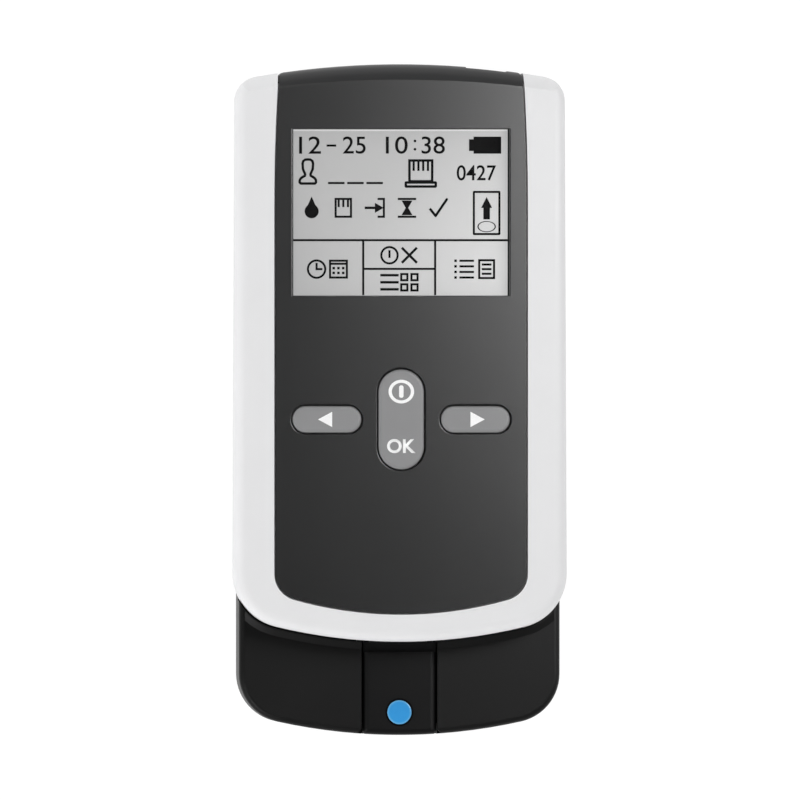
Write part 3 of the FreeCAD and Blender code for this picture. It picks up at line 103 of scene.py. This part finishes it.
class Finish:
    """A material, or the world round the meter, that is built up node by node."""

    def __init__(self, name, kind="materials", place="Object"):
        self.made = getattr(bpy.data, kind).new(name)
        self.made.use_nodes = True
        self.tree = self.made.node_tree
        self.tree.nodes.clear()
        self.place = self.node("ShaderNodeTexCoord", output=place)

    def node(self, kind, settings=None, inputs=None, output=0):
        made = self.tree.nodes.new(kind)
        for name, setting in (settings or {}).items():
            setattr(made, name, setting)
        for name, given in (inputs or {}).items():
            if isinstance(given, Value):
                self.tree.links.new(given.socket, made.inputs[name])
            else:
                made.inputs[name].default_value = given
        return None if output is None else Value(self, made.outputs[output])

    def across(self, axis):
        """The place along one axis, in metres."""
        return self.node("ShaderNodeSeparateXYZ", inputs={0: self.place}, output=axis)

    def noise(self, size, detail=2.0, roughness=0.5, stretch=None):
        """Cloudy variation whose lumps are about the given size, in metres."""
        place = self.place
        if stretch:
            place = self.node("ShaderNodeMapping", inputs={"Vector": place, "Scale": stretch})
        inputs = {"Vector": place, "Scale": 1 / size, "Detail": detail, "Roughness": roughness}
        return self.node("ShaderNodeTexNoise", inputs=inputs)

    def grains(self, size):
        """Distance to the nearest of many scattered points, in units of the grain size."""
        return self.node("ShaderNodeTexVoronoi", inputs={"Vector": self.place, "Scale": 1 / size})

    def mix_colour(self, share, first, second):
        settings = {"data_type": "RGBA"}
        return self.node("ShaderNodeMix", settings, {0: share, 6: first, 7: second}, output=2)

    def bumps(self, height, depth, strength):
        inputs = {"Height": height, "Distance": depth, "Strength": strength}
        return self.node("ShaderNodeBump", inputs=inputs)

    def surface(self, **inputs):
        """The usual shader, with its sockets given by name, such as base_color=..."""
        sockets = {}
        for name, given in inputs.items():
            sockets[name.replace("_", " ").title().replace("Ior", "IOR")] = given
        return self.node("ShaderNodeBsdfPrincipled", inputs=sockets)

    def rays(self, *kinds):
        """1 for rays of the named kinds, 0 for all others."""
        found = [self.node("ShaderNodeLightPath", output=f"Is {kind} Ray") for kind in kinds]
        whole = found[0]
        for part in found[1:]:
            whole = whole.math("MAXIMUM", whole, part)
        return whole

    def finished(self, shader, output="ShaderNodeOutputMaterial"):
        self.node(output, inputs={"Surface": shader}, output=None)
        return self.made


def grey(level):
    return (level, level, level, 1.0)


def screen(red, green, blue):
    """The amounts of light that make a colour given as on a screen, 0 to 255."""
    amounts = []
    for part in (red / 255, green / 255, blue / 255):
        dark = part <= 0.04045
        amounts.append(part / 12.92 if dark else ((part + 0.055) / 1.055) ** 2.4)
    return (*amounts, 1.0)


def shade(colour, amount):
    """The same colour with more or less light, at most white."""
    return (*[min(1.0, part * amount) for part in colour[:3]], 1.0)


def satin(finish, roughness, rough_grain):
    """A roughness that varies with smears from handling and with the moulded grain."""
    smears = finish.noise(30 * MM, detail=4, roughness=0.6, stretch=(1.0, 0.45, 1.0))
    return roughness + (smears - 0.5) * 0.12 + (rough_grain - 0.4) * 0.05


def moulded(name, colour, roughness, grain=0.12 * MM, depth=0.004 * MM, shift=0.06, **more):
    """Moulded plastic: fine eroded grain, faint clouds in its colour and marks in its shine."""
    finish = Finish(name)
    clouds = finish.noise(9 * MM, detail=3)
    rough_grain = finish.grains(grain)
    darker, lighter = shade(colour, 1 - shift), shade(colour, 1 + shift)
    shader = finish.surface(
        base_color=finish.mix_colour(clouds.between(0.3, 0.7), darker, lighter),
        roughness=satin(finish, roughness, rough_grain),
        normal=finish.bumps(rough_grain, depth, 0.6),
        **more,
    )
    return finish.finished(shader)


# Moulded casings
def white_casing():
    return moulded("white_casing", screen(226, 226, 227), 0.6, grain=0.18 * MM,
                   depth=0.003 * MM, shift=0.008, specular_ior_level=0.3)


def panel_plastic():
    """Satin black, duller on the sloping end, with a painted highlight there that makes it greyer.
    """
    finish = Finish("panel_plastic")
    crease, tip = 65.8 * MM, 68.8 * MM
    bend = 169 * MM  # radius of the circle that the crease is part of
    across = finish.across(0)
    along = finish.across(1) + across * across / (2 * bend)
    slope = along.between(crease - 0.2 * MM, crease + 0.2 * MM)
    toward_tip = along.between(crease, tip)
    clouds = finish.noise(9 * MM, detail=3)
    rough_grain = finish.grains(0.09 * MM)
    tone = finish.mix_colour(clouds.between(0.3, 0.7), screen(15, 15, 16), screen(17, 17, 18))
    # painted highlight: the sloping end is painted a lighter grey, strongest just past the crease
    # and fading towards the tip, for the light the slope catches
    tone = finish.mix_colour(slope - toward_tip * 0.9, tone, screen(34, 34, 35))
    shader = finish.surface(
        base_color=tone,
        roughness=satin(finish, 0.385, rough_grain),
        normal=finish.bumps(rough_grain, 0.0015 * MM, 0.6),
        specular_ior_level=0.36,
        coat_weight=0.5 - toward_tip * 0.5,
        coat_roughness=0.37,
    )
    return finish.finished(shader)


def nose_plastic():
    return moulded("nose_plastic", screen(9, 9, 9), 0.46, grain=0.22 * MM,
                   depth=0.006 * MM, specular_ior_level=0.24)


def cover_plastic():
    return moulded("cover_plastic", screen(7, 7, 8), 0.44, grain=0.16 * MM,
                   depth=0.005 * MM, specular_ior_level=0.2)


def inner_plastic():
    return moulded("inner_plastic", screen(30, 30, 31), 0.6)


def guide_plastic():
    return moulded("guide_plastic", screen(52, 52, 54), 0.4, grain=0.3 * MM, depth=0.002 * MM)


def key_plastic():
    return moulded("key_plastic", screen(135, 135, 136), 0.55, grain=0.14 * MM,
                   depth=0.003 * MM, shift=0.02, specular_ior_level=0.3)


def dot_plastic():
    """A blue disc with a painted highlight, a lighter band round its edge, which is also a little
    smoother than its face.
    """
    finish = Finish("dot_plastic")
    low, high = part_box("cover_dot")
    across = finish.across(0) - (low.x + high.x) / 2
    along = finish.across(1) - (low.y + high.y) / 2
    radius = (across * across + along * along) ** 0.5
    rim = radius.between(2.0 * MM, 2.4 * MM)
    clouds = finish.noise(1.5 * MM, detail=3)
    face = finish.mix_colour(clouds, screen(22, 146, 218), screen(28, 154, 226))
    # painted highlight: a lighter band round the edge, for the light its rounded edge catches
    tone = finish.mix_colour(rim * 0.6, face, screen(120, 190, 228))
    shader = finish.surface(
        base_color=tone,
        roughness=0.35 - rim * 0.1,
        normal=finish.bumps(finish.noise(0.2 * MM), 0.002 * MM, 0.3),
    )
    return finish.finished(shader)


def soft_rubber(name, colour, roughness):
    return moulded(name, colour, roughness, grain=0.3 * MM, depth=0.01 * MM, shift=0.1)


# Metals, board and cells
def bright_metal(name, colour, roughness, stretch):
    finish = Finish(name)
    brushed = finish.noise(0.25 * MM, detail=3, stretch=stretch)
    clouds = finish.noise(4 * MM)
    tone = finish.mix_colour(clouds.between(0.35, 0.75), shade(colour, 0.82), colour)
    shader = finish.surface(
        base_color=tone,
        metallic=1.0,
        roughness=roughness + (brushed - 0.5) * 0.2,
        normal=finish.bumps(brushed, 0.003 * MM, 0.4),
    )
    return finish.finished(shader)


def circuit_board():
    """Green solder mask, with tracks that show through it as slightly raised lighter lines."""
    finish = Finish("circuit_board")
    inputs = {"Vector": finish.place, "Scale": 1 / (2.4 * MM)}
    cells = finish.node("ShaderNodeTexVoronoi", {"feature": "DISTANCE_TO_EDGE"}, inputs)
    tracks = 1 - cells.between(0.03, 0.06)
    weave = finish.noise(0.5 * MM)
    tone = finish.mix_colour(tracks * 0.7, screen(18, 78, 44), screen(38, 118, 66))
    shader = finish.surface(
        base_color=tone,
        roughness=0.3 + (weave - 0.5) * 0.1,
        normal=finish.bumps(tracks + weave * 0.2, 0.02 * MM, 0.5),
    )
    return finish.finished(shader)


def cell_jacket():
    """A cell's printed sleeve: dark, with a plain silver band at one end."""
    finish = Finish("cell_jacket")
    along = finish.across(1)
    band = along.between(15 * MM, 15.2 * MM)
    scuffs = finish.noise(0.6 * MM, stretch=(1.0, 0.1, 1.0))
    tone = finish.mix_colour(band, screen(40, 44, 52), screen(178, 176, 168))
    shader = finish.surface(
        base_color=tone,
        metallic=0.4 + band * 0.5,
        roughness=0.28 + scuffs * 0.12,
        normal=finish.bumps(scuffs, 0.004 * MM, 0.4),
    )
    return finish.finished(shader)


# Display
def clear_window():
    """The window over the display: clear and polished, with a shine on its outer face alone."""
    finish = Finish("clear_window")
    smears = finish.noise(12 * MM, detail=4, roughness=0.6)
    clear = finish.node("ShaderNodeBsdfTransparent", inputs={"Color": grey(0.97)})
    polish = {"Color": grey(1.0), "Roughness": 0.03 + smears * 0.03}
    shine = finish.node("ShaderNodeBsdfGlossy", inputs=polish)
    front = 1 - finish.node("ShaderNodeNewGeometry", output="Backfacing")
    facing = finish.node("ShaderNodeFresnel", inputs={"IOR": 1.38}) * front
    inputs = {0: facing, 1: clear, 2: shine}
    return finish.finished(finish.node("ShaderNodeMixShader", inputs=inputs))


def lit_sheet(finish, tone, roughness, glow, **more):
    """A surface that mostly glows, as painted light that keeps it bright and hides the shade under
    the window, and reflects a share of what falls on it.
    """
    sheet = finish.mix_colour(0.6, tone, grey(0.0))
    # painted light: the emission makes the surface glow though it is no lamp
    shader = finish.surface(base_color=sheet, roughness=roughness, emission_color=tone,
                            emission_strength=glow, **more)
    return finish.finished(shader)


def display_glass():
    """The display's own surface: pale grey, a little brighter towards the lower right as a painted
    sheen, and shown mostly as a painted glow.
    """
    finish = Finish("display_glass")
    middle = 26 * MM
    # painted sheen: the grey lightens towards the lower right for the light reflected there
    place = finish.across(0) - (finish.across(1) - middle) * 0.8
    lit = place.between(-26 * MM, 36 * MM)
    pearl = finish.noise(0.08 * MM, detail=1)
    tone = finish.mix_colour(lit, screen(174, 174, 174), screen(209, 209, 209))
    tone = finish.mix_colour(pearl.between(0.3, 0.7) * 0.06, tone, grey(0.3))
    return lit_sheet(finish, tone, 0.45, 0.86, normal=finish.bumps(pearl, 0.002 * MM, 0.3))


def display_ink():
    """Dark parts of the display."""
    finish = Finish("display_ink")
    weave = finish.noise(0.05 * MM)
    tone = finish.mix_colour(weave.between(0.3, 0.7), screen(8, 8, 9), screen(14, 14, 15))
    return finish.finished(finish.surface(base_color=tone, roughness=0.8, specular_ior_level=0.1))


def edge_highlight_glow():
    """A painted highlight: a glowing lighter line along the window's edge."""
    finish = Finish("edge_highlight_glow")
    clouds = finish.noise(6 * MM)
    tone = finish.mix_colour(clouds, screen(204, 204, 204), screen(216, 216, 216))
    # painted highlight, glowing though it is no lamp
    return lit_sheet(finish, tone, 0.4, 0.9)


def gap_and_painted_shade():
    """The narrow gap round the dot, and painted shade on the cover just outside it."""
    finish = Finish("gap_and_painted_shade")
    dust = finish.noise(0.2 * MM, detail=3)
    tone = finish.mix_colour(dust, screen(5, 5, 6), screen(10, 10, 11))
    return finish.finished(finish.surface(base_color=tone, roughness=0.9, specular_ior_level=0.05))


def key_ink():
    """White print on the keys."""
    finish = Finish("key_ink")
    edges = finish.noise(0.15 * MM, detail=3)
    share = edges.between(0.3, 0.8)
    tone = finish.mix_colour(share, screen(240, 240, 240), screen(250, 250, 250))
    normal = finish.bumps(edges, 0.002 * MM, 0.4)
    return finish.finished(finish.surface(base_color=tone, roughness=0.5, normal=normal))


def light_guide():
    return moulded("light_guide", screen(225, 232, 228), 0.25, grain=0.5 * MM, shift=0.02)


# Which finish each node of the meter has
def dress_nodes():
    metal = bright_metal("bright_steel", screen(200, 200, 202), 0.3, (1.0, 6.0, 6.0))
    springs = bright_metal("contact_spring", screen(206, 200, 186), 0.25, (6.0, 1.0, 1.0))
    heater = bright_metal("heater_metal", screen(212, 212, 214), 0.35, (1.0, 8.0, 1.0))
    dome_rubber = soft_rubber("dome_rubber", screen(170, 170, 172), 0.6)
    foot_rubber = soft_rubber("foot_rubber", screen(34, 34, 34), 0.75)
    nose, cover, inner, keys = nose_plastic(), cover_plastic(), inner_plastic(), key_plastic()
    finishes = {
        "front_shell": white_casing(),
        "front_panel": panel_plastic(),
        "rear_shell": nose,
        "battery_door": nose,
        "strip_port_cover": cover,
        "cover_dot": dot_plastic(),
        "display_lens": clear_window(),
        "lcd_frame": inner,
        "lcd_glass": display_glass(),
        "backlight": light_guide(),
        "main_board": circuit_board(),
        "processor_chip": inner,
        "clock_cell": metal,
        "buzzer": inner,
        "data_port": metal,
        "strip_connector": inner,
        "card_guide": guide_plastic(),
        "heater_block": heater,
        "left_key": keys,
        "right_key": keys,
        "middle_key": keys,
        "case_screws": metal,
        "board_screws": metal,
        "battery_contacts_low": springs,
        "battery_contacts_top": springs,
    }
    jacket = cell_jacket()
    for name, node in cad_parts.items():
        finish = finishes.get(name)
        if name.endswith("_dome"):
            finish = dome_rubber
        elif name.startswith("foot_"):
            finish = foot_rubber
        elif name.startswith("battery_cell"):
            finish = jacket
        node.data.materials.clear()
        node.data.materials.append(finish)


def deselect():
    bpy.ops.object.select_all(action="DESELECT")


def settle(piece):
    """Put a new piece's place, turn and size into its mesh."""
    deselect()
    piece.select_set(True)
    bpy.context.view_layer.objects.active = piece
    bpy.ops.object.transform_apply(location=True, rotation=True, scale=True)


class Print:
    """Flat marks at one level, drawn one by one and joined into one thin piece.

    Places and sizes are in millimetres, and places are counted from the print's own origin.
    """

    def __init__(self, name, level, x=0.0, y=0.0):
        self.name = name
        self.level = level
        self.x = x
        self.y = y
        self.marks = []

    def at(self, x, y):
        """A place on the print, a hair higher from mark to mark, so that none share a face."""
        lift = len(self.marks) % 4 * 0.0015 * MM
        return (self.x + x * MM, self.y + y * MM, self.level + lift)

    def keep(self):
        mark = bpy.context.object
        settle(mark)
        self.marks.append(mark)

    def bar(self, x, y, length, width, turn=0.0, corner=0.0):
        """A rectangle about a place, turned anticlockwise by an angle in degrees."""
        deselect()
        bpy.ops.mesh.primitive_plane_add(
            size=1, location=self.at(x, y), rotation=(0, 0, math.radians(turn)))
        bpy.context.object.scale = (length * MM, width * MM, 1)
        self.keep()
        if corner:
            bpy.ops.object.mode_set(mode="EDIT")
            bpy.ops.mesh.select_all(action="SELECT")
            bpy.ops.mesh.bevel(affect="VERTICES", offset=corner * MM, segments=6)
            bpy.ops.object.mode_set(mode="OBJECT")

    def line(self, start, end, width):
        """A straight stroke from one place to another."""
        run, rise = end[0] - start[0], end[1] - start[1]
        middle = ((start[0] + end[0]) / 2, (start[1] + end[1]) / 2)
        self.bar(*middle, math.hypot(run, rise), width, turn=math.degrees(math.atan2(rise, run)))

    def path(self, points, width):
        """Strokes from each place to the next, with round joints."""
        for start, end in zip(points, points[1:]):
            self.line(start, end, width)
            self.disc(*end, width / 2, sides=12)

    def frame(self, x, y, length, width, stroke, corner=0.0):
        """A rectangle's outline."""
        self.bar(x, y, length, width, corner=corner)
        bpy.ops.object.mode_set(mode="EDIT")
        bpy.ops.mesh.select_all(action="SELECT")
        bpy.ops.mesh.inset(thickness=stroke * MM)
        bpy.ops.mesh.delete(type="FACE")
        bpy.ops.object.mode_set(mode="OBJECT")

    def disc(self, x, y, radius, sides=48, turn=0.0, squeeze=1.0):
        """A filled circle, or a triangle where it has three sides."""
        deselect()
        bpy.ops.mesh.primitive_circle_add(
            vertices=sides, radius=radius * MM, fill_type="NGON", location=self.at(x, y),
            rotation=(0, 0, math.radians(turn)))
        bpy.context.object.scale = (1, squeeze, 1)
        self.keep()

    def ring(self, x, y, radius, stroke, squeeze=1.0):
        """A ring with the given outer radius: a circle's edge drawn inwards."""
        deselect()
        place = self.at(x, y)
        bpy.ops.mesh.primitive_circle_add(vertices=64, radius=radius * MM, location=place)
        bpy.ops.object.mode_set(mode="EDIT")
        bpy.ops.mesh.select_all(action="SELECT")
        bpy.ops.mesh.extrude_edges_move()
        inner = (radius - stroke) / radius
        bpy.ops.transform.resize(value=(inner, inner, 1), center_override=place)
        bpy.ops.object.mode_set(mode="OBJECT")
        bpy.context.object.scale = (1, squeeze, 1)
        self.keep()

    def words(self, x, y, text, length, width, bold):
        """Characters that fill a box about a place."""
        deselect()
        bpy.ops.object.text_add()
        letters = bpy.context.object
        letters.data.body = text
        letters.data.offset = bold
        bpy.ops.object.convert(target="MESH")
        letters = bpy.context.object
        corners = [Vector(corner) for corner in letters.bound_box]
        low = Vector(map(min, *corners))
        high = Vector(map(max, *corners))
        letters.data.transform(Matrix.Translation(-(low + high) / 2))
        letters.scale = (length * MM / (high.x - low.x), width * MM / (high.y - low.y), 1)
        letters.location = self.at(x, y)
        self.keep()

    def finish(self, body, material, slot):
        """Join the marks, give them their thickness and make them part of a body."""
        deselect()
        for mark in self.marks:
            mark.select_set(True)
        piece = self.marks[0]
        bpy.context.view_layer.objects.active = piece
        bpy.ops.object.join()
        piece.name = piece.data.name = self.name
        bpy.ops.object.mode_set(mode="EDIT")
        bpy.ops.mesh.select_all(action="SELECT")
        bpy.ops.mesh.remove_doubles(threshold=0.0005 * MM)
        bpy.ops.object.mode_set(mode="OBJECT")
        for face in piece.data.polygons:
            if face.normal.z < 0:
                face.flip()
        thicken = piece.modifiers.new("thickness", "SOLIDIFY")
        thicken.thickness = 0.03 * MM
        thicken.offset = 1
        bpy.ops.object.modifier_apply(modifier=thicken.name)
        settle(piece)
        piece.data.materials.clear()
        piece.data.materials.append(material)
        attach(piece, body)


def key_marks():
    """White marks on the keys, sunk so that they hardly stand above them."""
    ink = key_ink()
    sunk = 0.025 * MM
    low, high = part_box("middle_key")
    row, level = (low.y + high.y) / 2, high.z - sunk
    power = Print("power_mark", level, y=row + 5.72 * MM)
    power.ring(0, 0, 2.63, 0.68, squeeze=0.925)
    power.bar(0, 0, 0.92, 2.56, corner=0.42)
    power.finish("middle_key", ink, "key_plastic")
    enter = Print("enter_mark", level, y=row - 5.48 * MM)
    enter.words(0, 0, "OK", 5.85, 2.9, bold=0.028)
    enter.finish("middle_key", ink, "key_plastic")
    for side, name in ((-1, "left"), (1, "right")):
        low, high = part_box(f"{name}_key")
        arrow = Print(f"{name}_arrow", high.z - sunk, x=(low.x + high.x) / 2, y=row)
        arrow.disc(-0.07 * side, 0, 1.82, sides=3, turn=-90 * side, squeeze=1.07)
        arrow.finish(f"{name}_key", ink, "key_plastic")


def dot_groove():
    """A dark ring on the cover, close round the dot: the gap's own darkness and painted shade just
    outside it.
    """
    low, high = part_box("cover_dot")
    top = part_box("strip_port_cover")[1].z
    groove = Print("dot_groove", top, x=(low.x + high.x) / 2, y=(low.y + high.y) / 2)
    radius = (high.x - low.x) / 2 / MM
    # painted shade: the ring reaches past the narrow gap onto the cover round the dot
    groove.ring(0, 0, radius + 0.4, 0.42)
    groove.finish("port_cover", gap_and_painted_shade(), "cover_plastic")


# Display marks, with places counted from the display's top left corner
THIN, BOLD = 0.44, 0.52  # width of the strokes


def date_row(marks):
    """Date, time and battery."""
    row = -3.15
    figures = (("12", 3.65, 4.5), ("25", 12.75, 4.7), ("10", 21.5, 4.5), ("38", 29.0, 4.8))
    for text, x, length in figures:
        marks.words(x, row, text, length, 3.55, bold=0.004)
    marks.bar(8.05, -3.25, 2.0, THIN)
    for lift in (0.85, -0.85):
        marks.disc(25.25, row + lift, 0.28, sides=16)
    marks.bar(40.15, row, 5.7, 3.5)
    marks.bar(36.85, row, 0.95, 2.4)


def card_row(marks):
    """The user's sign, blanks, a test card and a number."""
    sign = 3.2
    half = [(0.55, -9.15), (1.0, -8.1), (1.08, -7.0), (0.95, -6.45), (0.55, -6.15), (0.0, -6.1)]
    head = [(-x, y) for x, y in half] + half[-2::-1]
    marks.path([(sign + x, y) for x, y in head], BOLD)
    half = [(0.0, -11.05), (1.45, -11.05), (1.7, -10.8), (1.65, -10.3), (1.35, -9.9),
            (0.6, -9.45), (0.55, -9.15)]
    for side in (1, -1):
        marks.path([(sign + side * x, y) for x, y in half], BOLD)
    for index in range(3):
        marks.bar(9.05 + 3.95 * index, -10.95, 3.4, THIN)
    card = 26.45
    marks.frame(card, -8.45, 5.2, 4.8, BOLD)
    marks.frame(card, -11.25, 6.7, 1.35, BOLD, corner=0.35)
    for index in range(4):
        marks.bar(card + (index - 1.5) * 0.98, -7.3, 0.46, 2.3)
    marks.words(37.9, -8.85, "0427", 8.1, 3.15, bold=0.008)


def steps_row(marks):
    """A drop, a card, the way in, a wait, a tick, and the card's picture at the right."""
    row = -16.05
    marks.disc(3.98, -16.75, 1.45)
    marks.disc(3.98, -15.5, 1.38, sides=3, squeeze=1.3)
    marks.frame(10.5, row, 3.6, 4.1, THIN)
    for index in range(3):
        marks.bar(10.5 + (index - 1) * 0.95, -15.1, THIN, 1.6)
    marks.bar(16.1, row, 2.4, BOLD)
    marks.disc(17.6, row, 1.2, sides=3, turn=-90)
    marks.bar(18.85, row, THIN, 4.1)
    for lift in (1.83, -1.83):
        marks.bar(18.2, row + lift, 1.3, THIN)
    for side in (1, -1):
        marks.bar(23.6, row + 1.83 * side, 3.8, THIN)
        marks.disc(23.6, row + 0.85 * side, 1.3, sides=3, turn=90 + 90 * side)
    marks.path([(28.3, -16.2), (29.5, -17.7), (31.8, -14.3)], BOLD)
    picture = 40.0
    marks.frame(picture, -17.1, 5.7, 9.1, THIN, corner=0.3)
    marks.bar(picture, -17.05, 1.35, 2.75)
    marks.disc(picture, -15.3, 1.3, sides=3, squeeze=1.15)
    marks.ring(picture, -19.9, 1.9, 0.26, squeeze=0.6)


def keys_row(marks, width, foot):
    """What the keys do: the rules between the fields, and two pictures in each field."""
    rule, row = -22.7, -28.65
    marks.bar(width / 2, rule, width, THIN)
    for x in (14.6, 29.4):
        marks.bar(x, (rule + foot) / 2, THIN, rule - foot)
    marks.bar(22.0, -28.6, 14.8, THIN)

    # a clock and a calendar
    marks.ring(5.0, row, 2.0, THIN)
    marks.bar(5.0, -28.1, THIN, 1.5)
    marks.bar(5.5, row, 1.4, THIN)
    marks.frame(9.5, row, 3.9, 3.9, THIN)
    marks.bar(9.5, -27.55, 3.6, THIN)
    for column in (-1, 0, 1):
        for line in (0, 1):
            marks.bar(9.5 + column * 0.98, -28.45 - 0.98 * line, BOLD, BOLD)

    # the power sign and a cross
    marks.ring(20.0, -25.8, 1.9, THIN)
    marks.bar(20.0, -25.55, THIN, 1.6)
    for turn in (45, -45):
        marks.bar(24.1, -25.8, 4.4, BOLD, turn=turn)

    # a menu and its tiles
    for line in (-1, 0, 1):
        marks.bar(20.0, -31.35 - 1.45 * line, 3.8, BOLD)
    for column in (-1, 1):
        for line in (-1, 1):
            marks.frame(24.1 + 1.05 * column, -31.35 + 1.05 * line, 1.7, 1.7, THIN)

    # a list and a page
    for line in (-1.5, -0.5, 0.5, 1.5):
        marks.bar(33.6, row + 1.15 * line, BOLD, BOLD)
        marks.bar(35.9, row + 1.15 * line, 3.0, THIN)
    marks.frame(40.0, row, 3.5, 4.1, THIN)
    for line in (-1, 0, 1):
        marks.bar(40.0, row + line * 0.95, 2.0, THIN)


def display_marks():
    """The display's dark marks, and a painted highlight, a glowing lighter line, inside its top
    and right edges.
    """
    low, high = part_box("display_lens")
    flange = 1.6 * MM
    left, top = low.x + flange, high.y - flange
    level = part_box("lcd_glass")[1].z + 0.01 * MM
    width, foot = (high.x - low.x - 2 * flange) / MM, (low.y + flange - top) / MM

    marks = Print("display_marks", level, x=left, y=top)
    date_row(marks)
    card_row(marks)
    steps_row(marks)
    keys_row(marks, width, foot)
    marks.finish("housing", display_ink(), "display_glass")

    # painted highlight along the window's top and right edges, for the light those edges catch
    edge = Print("display_edge_highlight", level, x=left, y=top)
    glow = 0.26
    edge.bar(width / 2, -glow / 2, width, glow)
    edge.bar(width - glow / 2, (foot - glow) / 2, glow, -foot - glow)
    edge.finish("housing", edge_highlight_glow(), "display_glass")


# Studio
def pale_floor():
    """White to the camera and in reflections, with the meter's shadow kept."""
    finish = Finish("pale_floor")
    soft = finish.node("ShaderNodeBsdfDiffuse", inputs={"Color": grey(0.86)})
    glow = finish.node("ShaderNodeEmission", inputs={"Color": grey(1.0), "Strength": 1.1})
    seen = finish.rays("Camera", "Glossy", "Transmission") * 0.86
    inputs = {0: seen, 1: soft, 2: glow}
    return finish.finished(finish.node("ShaderNodeMixShader", inputs=inputs))


def room():
    """Even pale walls, white behind the floor's edge, and darker overhead in reflections."""
    even, horizon, overhead = 0.72, 0.36, 0.04
    finish = Finish("room", kind="worlds", place="Generated")
    height = finish.across(2)
    walls = horizon - height.between(0.55, 0.97) * (horizon - overhead)
    reflected = finish.rays("Glossy")
    seen = finish.rays("Camera")
    strength = reflected * (walls - even) + seen * (1 - even) + even
    inputs = {"Color": grey(1.0), "Strength": strength}
    light = finish.node("ShaderNodeBackground", inputs=inputs)
    bpy.context.scene.world = finish.finished(light, "ShaderNodeOutputWorld")


def floor():
    deselect()
    bpy.ops.mesh.primitive_plane_add(size=1, location=(0, 0, cad_box[0].z - 0.02 * MM))
    ground = bpy.context.object
    ground.name = "floor"
    ground.scale = (12, 12, 1)
    bpy.ops.object.mode_set(mode="EDIT")
    bpy.ops.mesh.subdivide(number_cuts=3)
    bpy.ops.object.mode_set(mode="OBJECT")
    settle(ground)
    ground.data.materials.append(pale_floor())


def softbox(name, place, target, size, power, diffuse=True, glossy=True):
    """A rectangular lamp that faces a target, for the surface's own light, its shine or both."""
    deselect()
    bpy.ops.object.light_add(type="AREA", location=place)
    lamp = bpy.context.object
    lamp.name = name
    lamp.data.shape = "RECTANGLE"
    lamp.data.size, lamp.data.size_y = size
    lamp.data.energy = power
    aim = Vector(target) - Vector(place)
    lamp.rotation_euler = aim.to_track_quat("-Z", "Y").to_euler()
    lamp.visible_diffuse = diffuse
    lamp.visible_glossy = glossy
    lamp.visible_camera = False


def lamps():
    soft = {"glossy": False}
    softbox("top_light", (0.1, 0.1, 1.1), (0, 0, 0), (0.9, 0.9), 0.24, **soft)
    softbox("left_light", (-0.8, -0.3, 0.3), (0, 0, 0.01), (0.6, 0.4), 3.1, **soft)
    softbox("low_right_light", (0.45, -0.8, 0.3), (0, 0, 0.01), (0.6, 0.4), 2.1, **soft)
    shine = {"diffuse": False}
    softbox("panel_light", (0.14, 0.068, 0.2), (0, 0.02, 0.03), (0.07, 0.17), 1.02, **shine)
    softbox("rim_light", (-0.36, -0.38, 0.47), (0, 0, 0.02), (0.22, 0.22), 1.25, **shine)
    softbox("end_light", (0.05, 0.9, 0.35), (0, 0, 0.02), (0.7, 0.4), 2.2, **soft)


def camera():
    """The photograph's view: straight at the face, a little from the left and from far away."""
    turn = math.radians(2.6)
    reach = 6.0
    view_width = 164.4 * MM
    sensor = 36.0
    aim = Vector((-0.25 * MM, -0.06 * MM, 27.6 * MM))
    place = aim + reach * Vector((-math.sin(turn), 0, math.cos(turn)))
    bpy.ops.object.camera_add(location=place, rotation=(0, -turn, 0))
    eye = bpy.context.object
    eye.data.sensor_width = sensor
    eye.data.lens = sensor * reach / view_width
    eye.data.clip_start = 0.1
    eye.data.clip_end = 30
    bpy.context.scene.camera = eye


camera()
room()
floor()
lamps()
dress_nodes()
key_marks()
dot_groove()
display_marks()
bpy.context.scene.view_settings.view_transform = "Standard"
deselect()
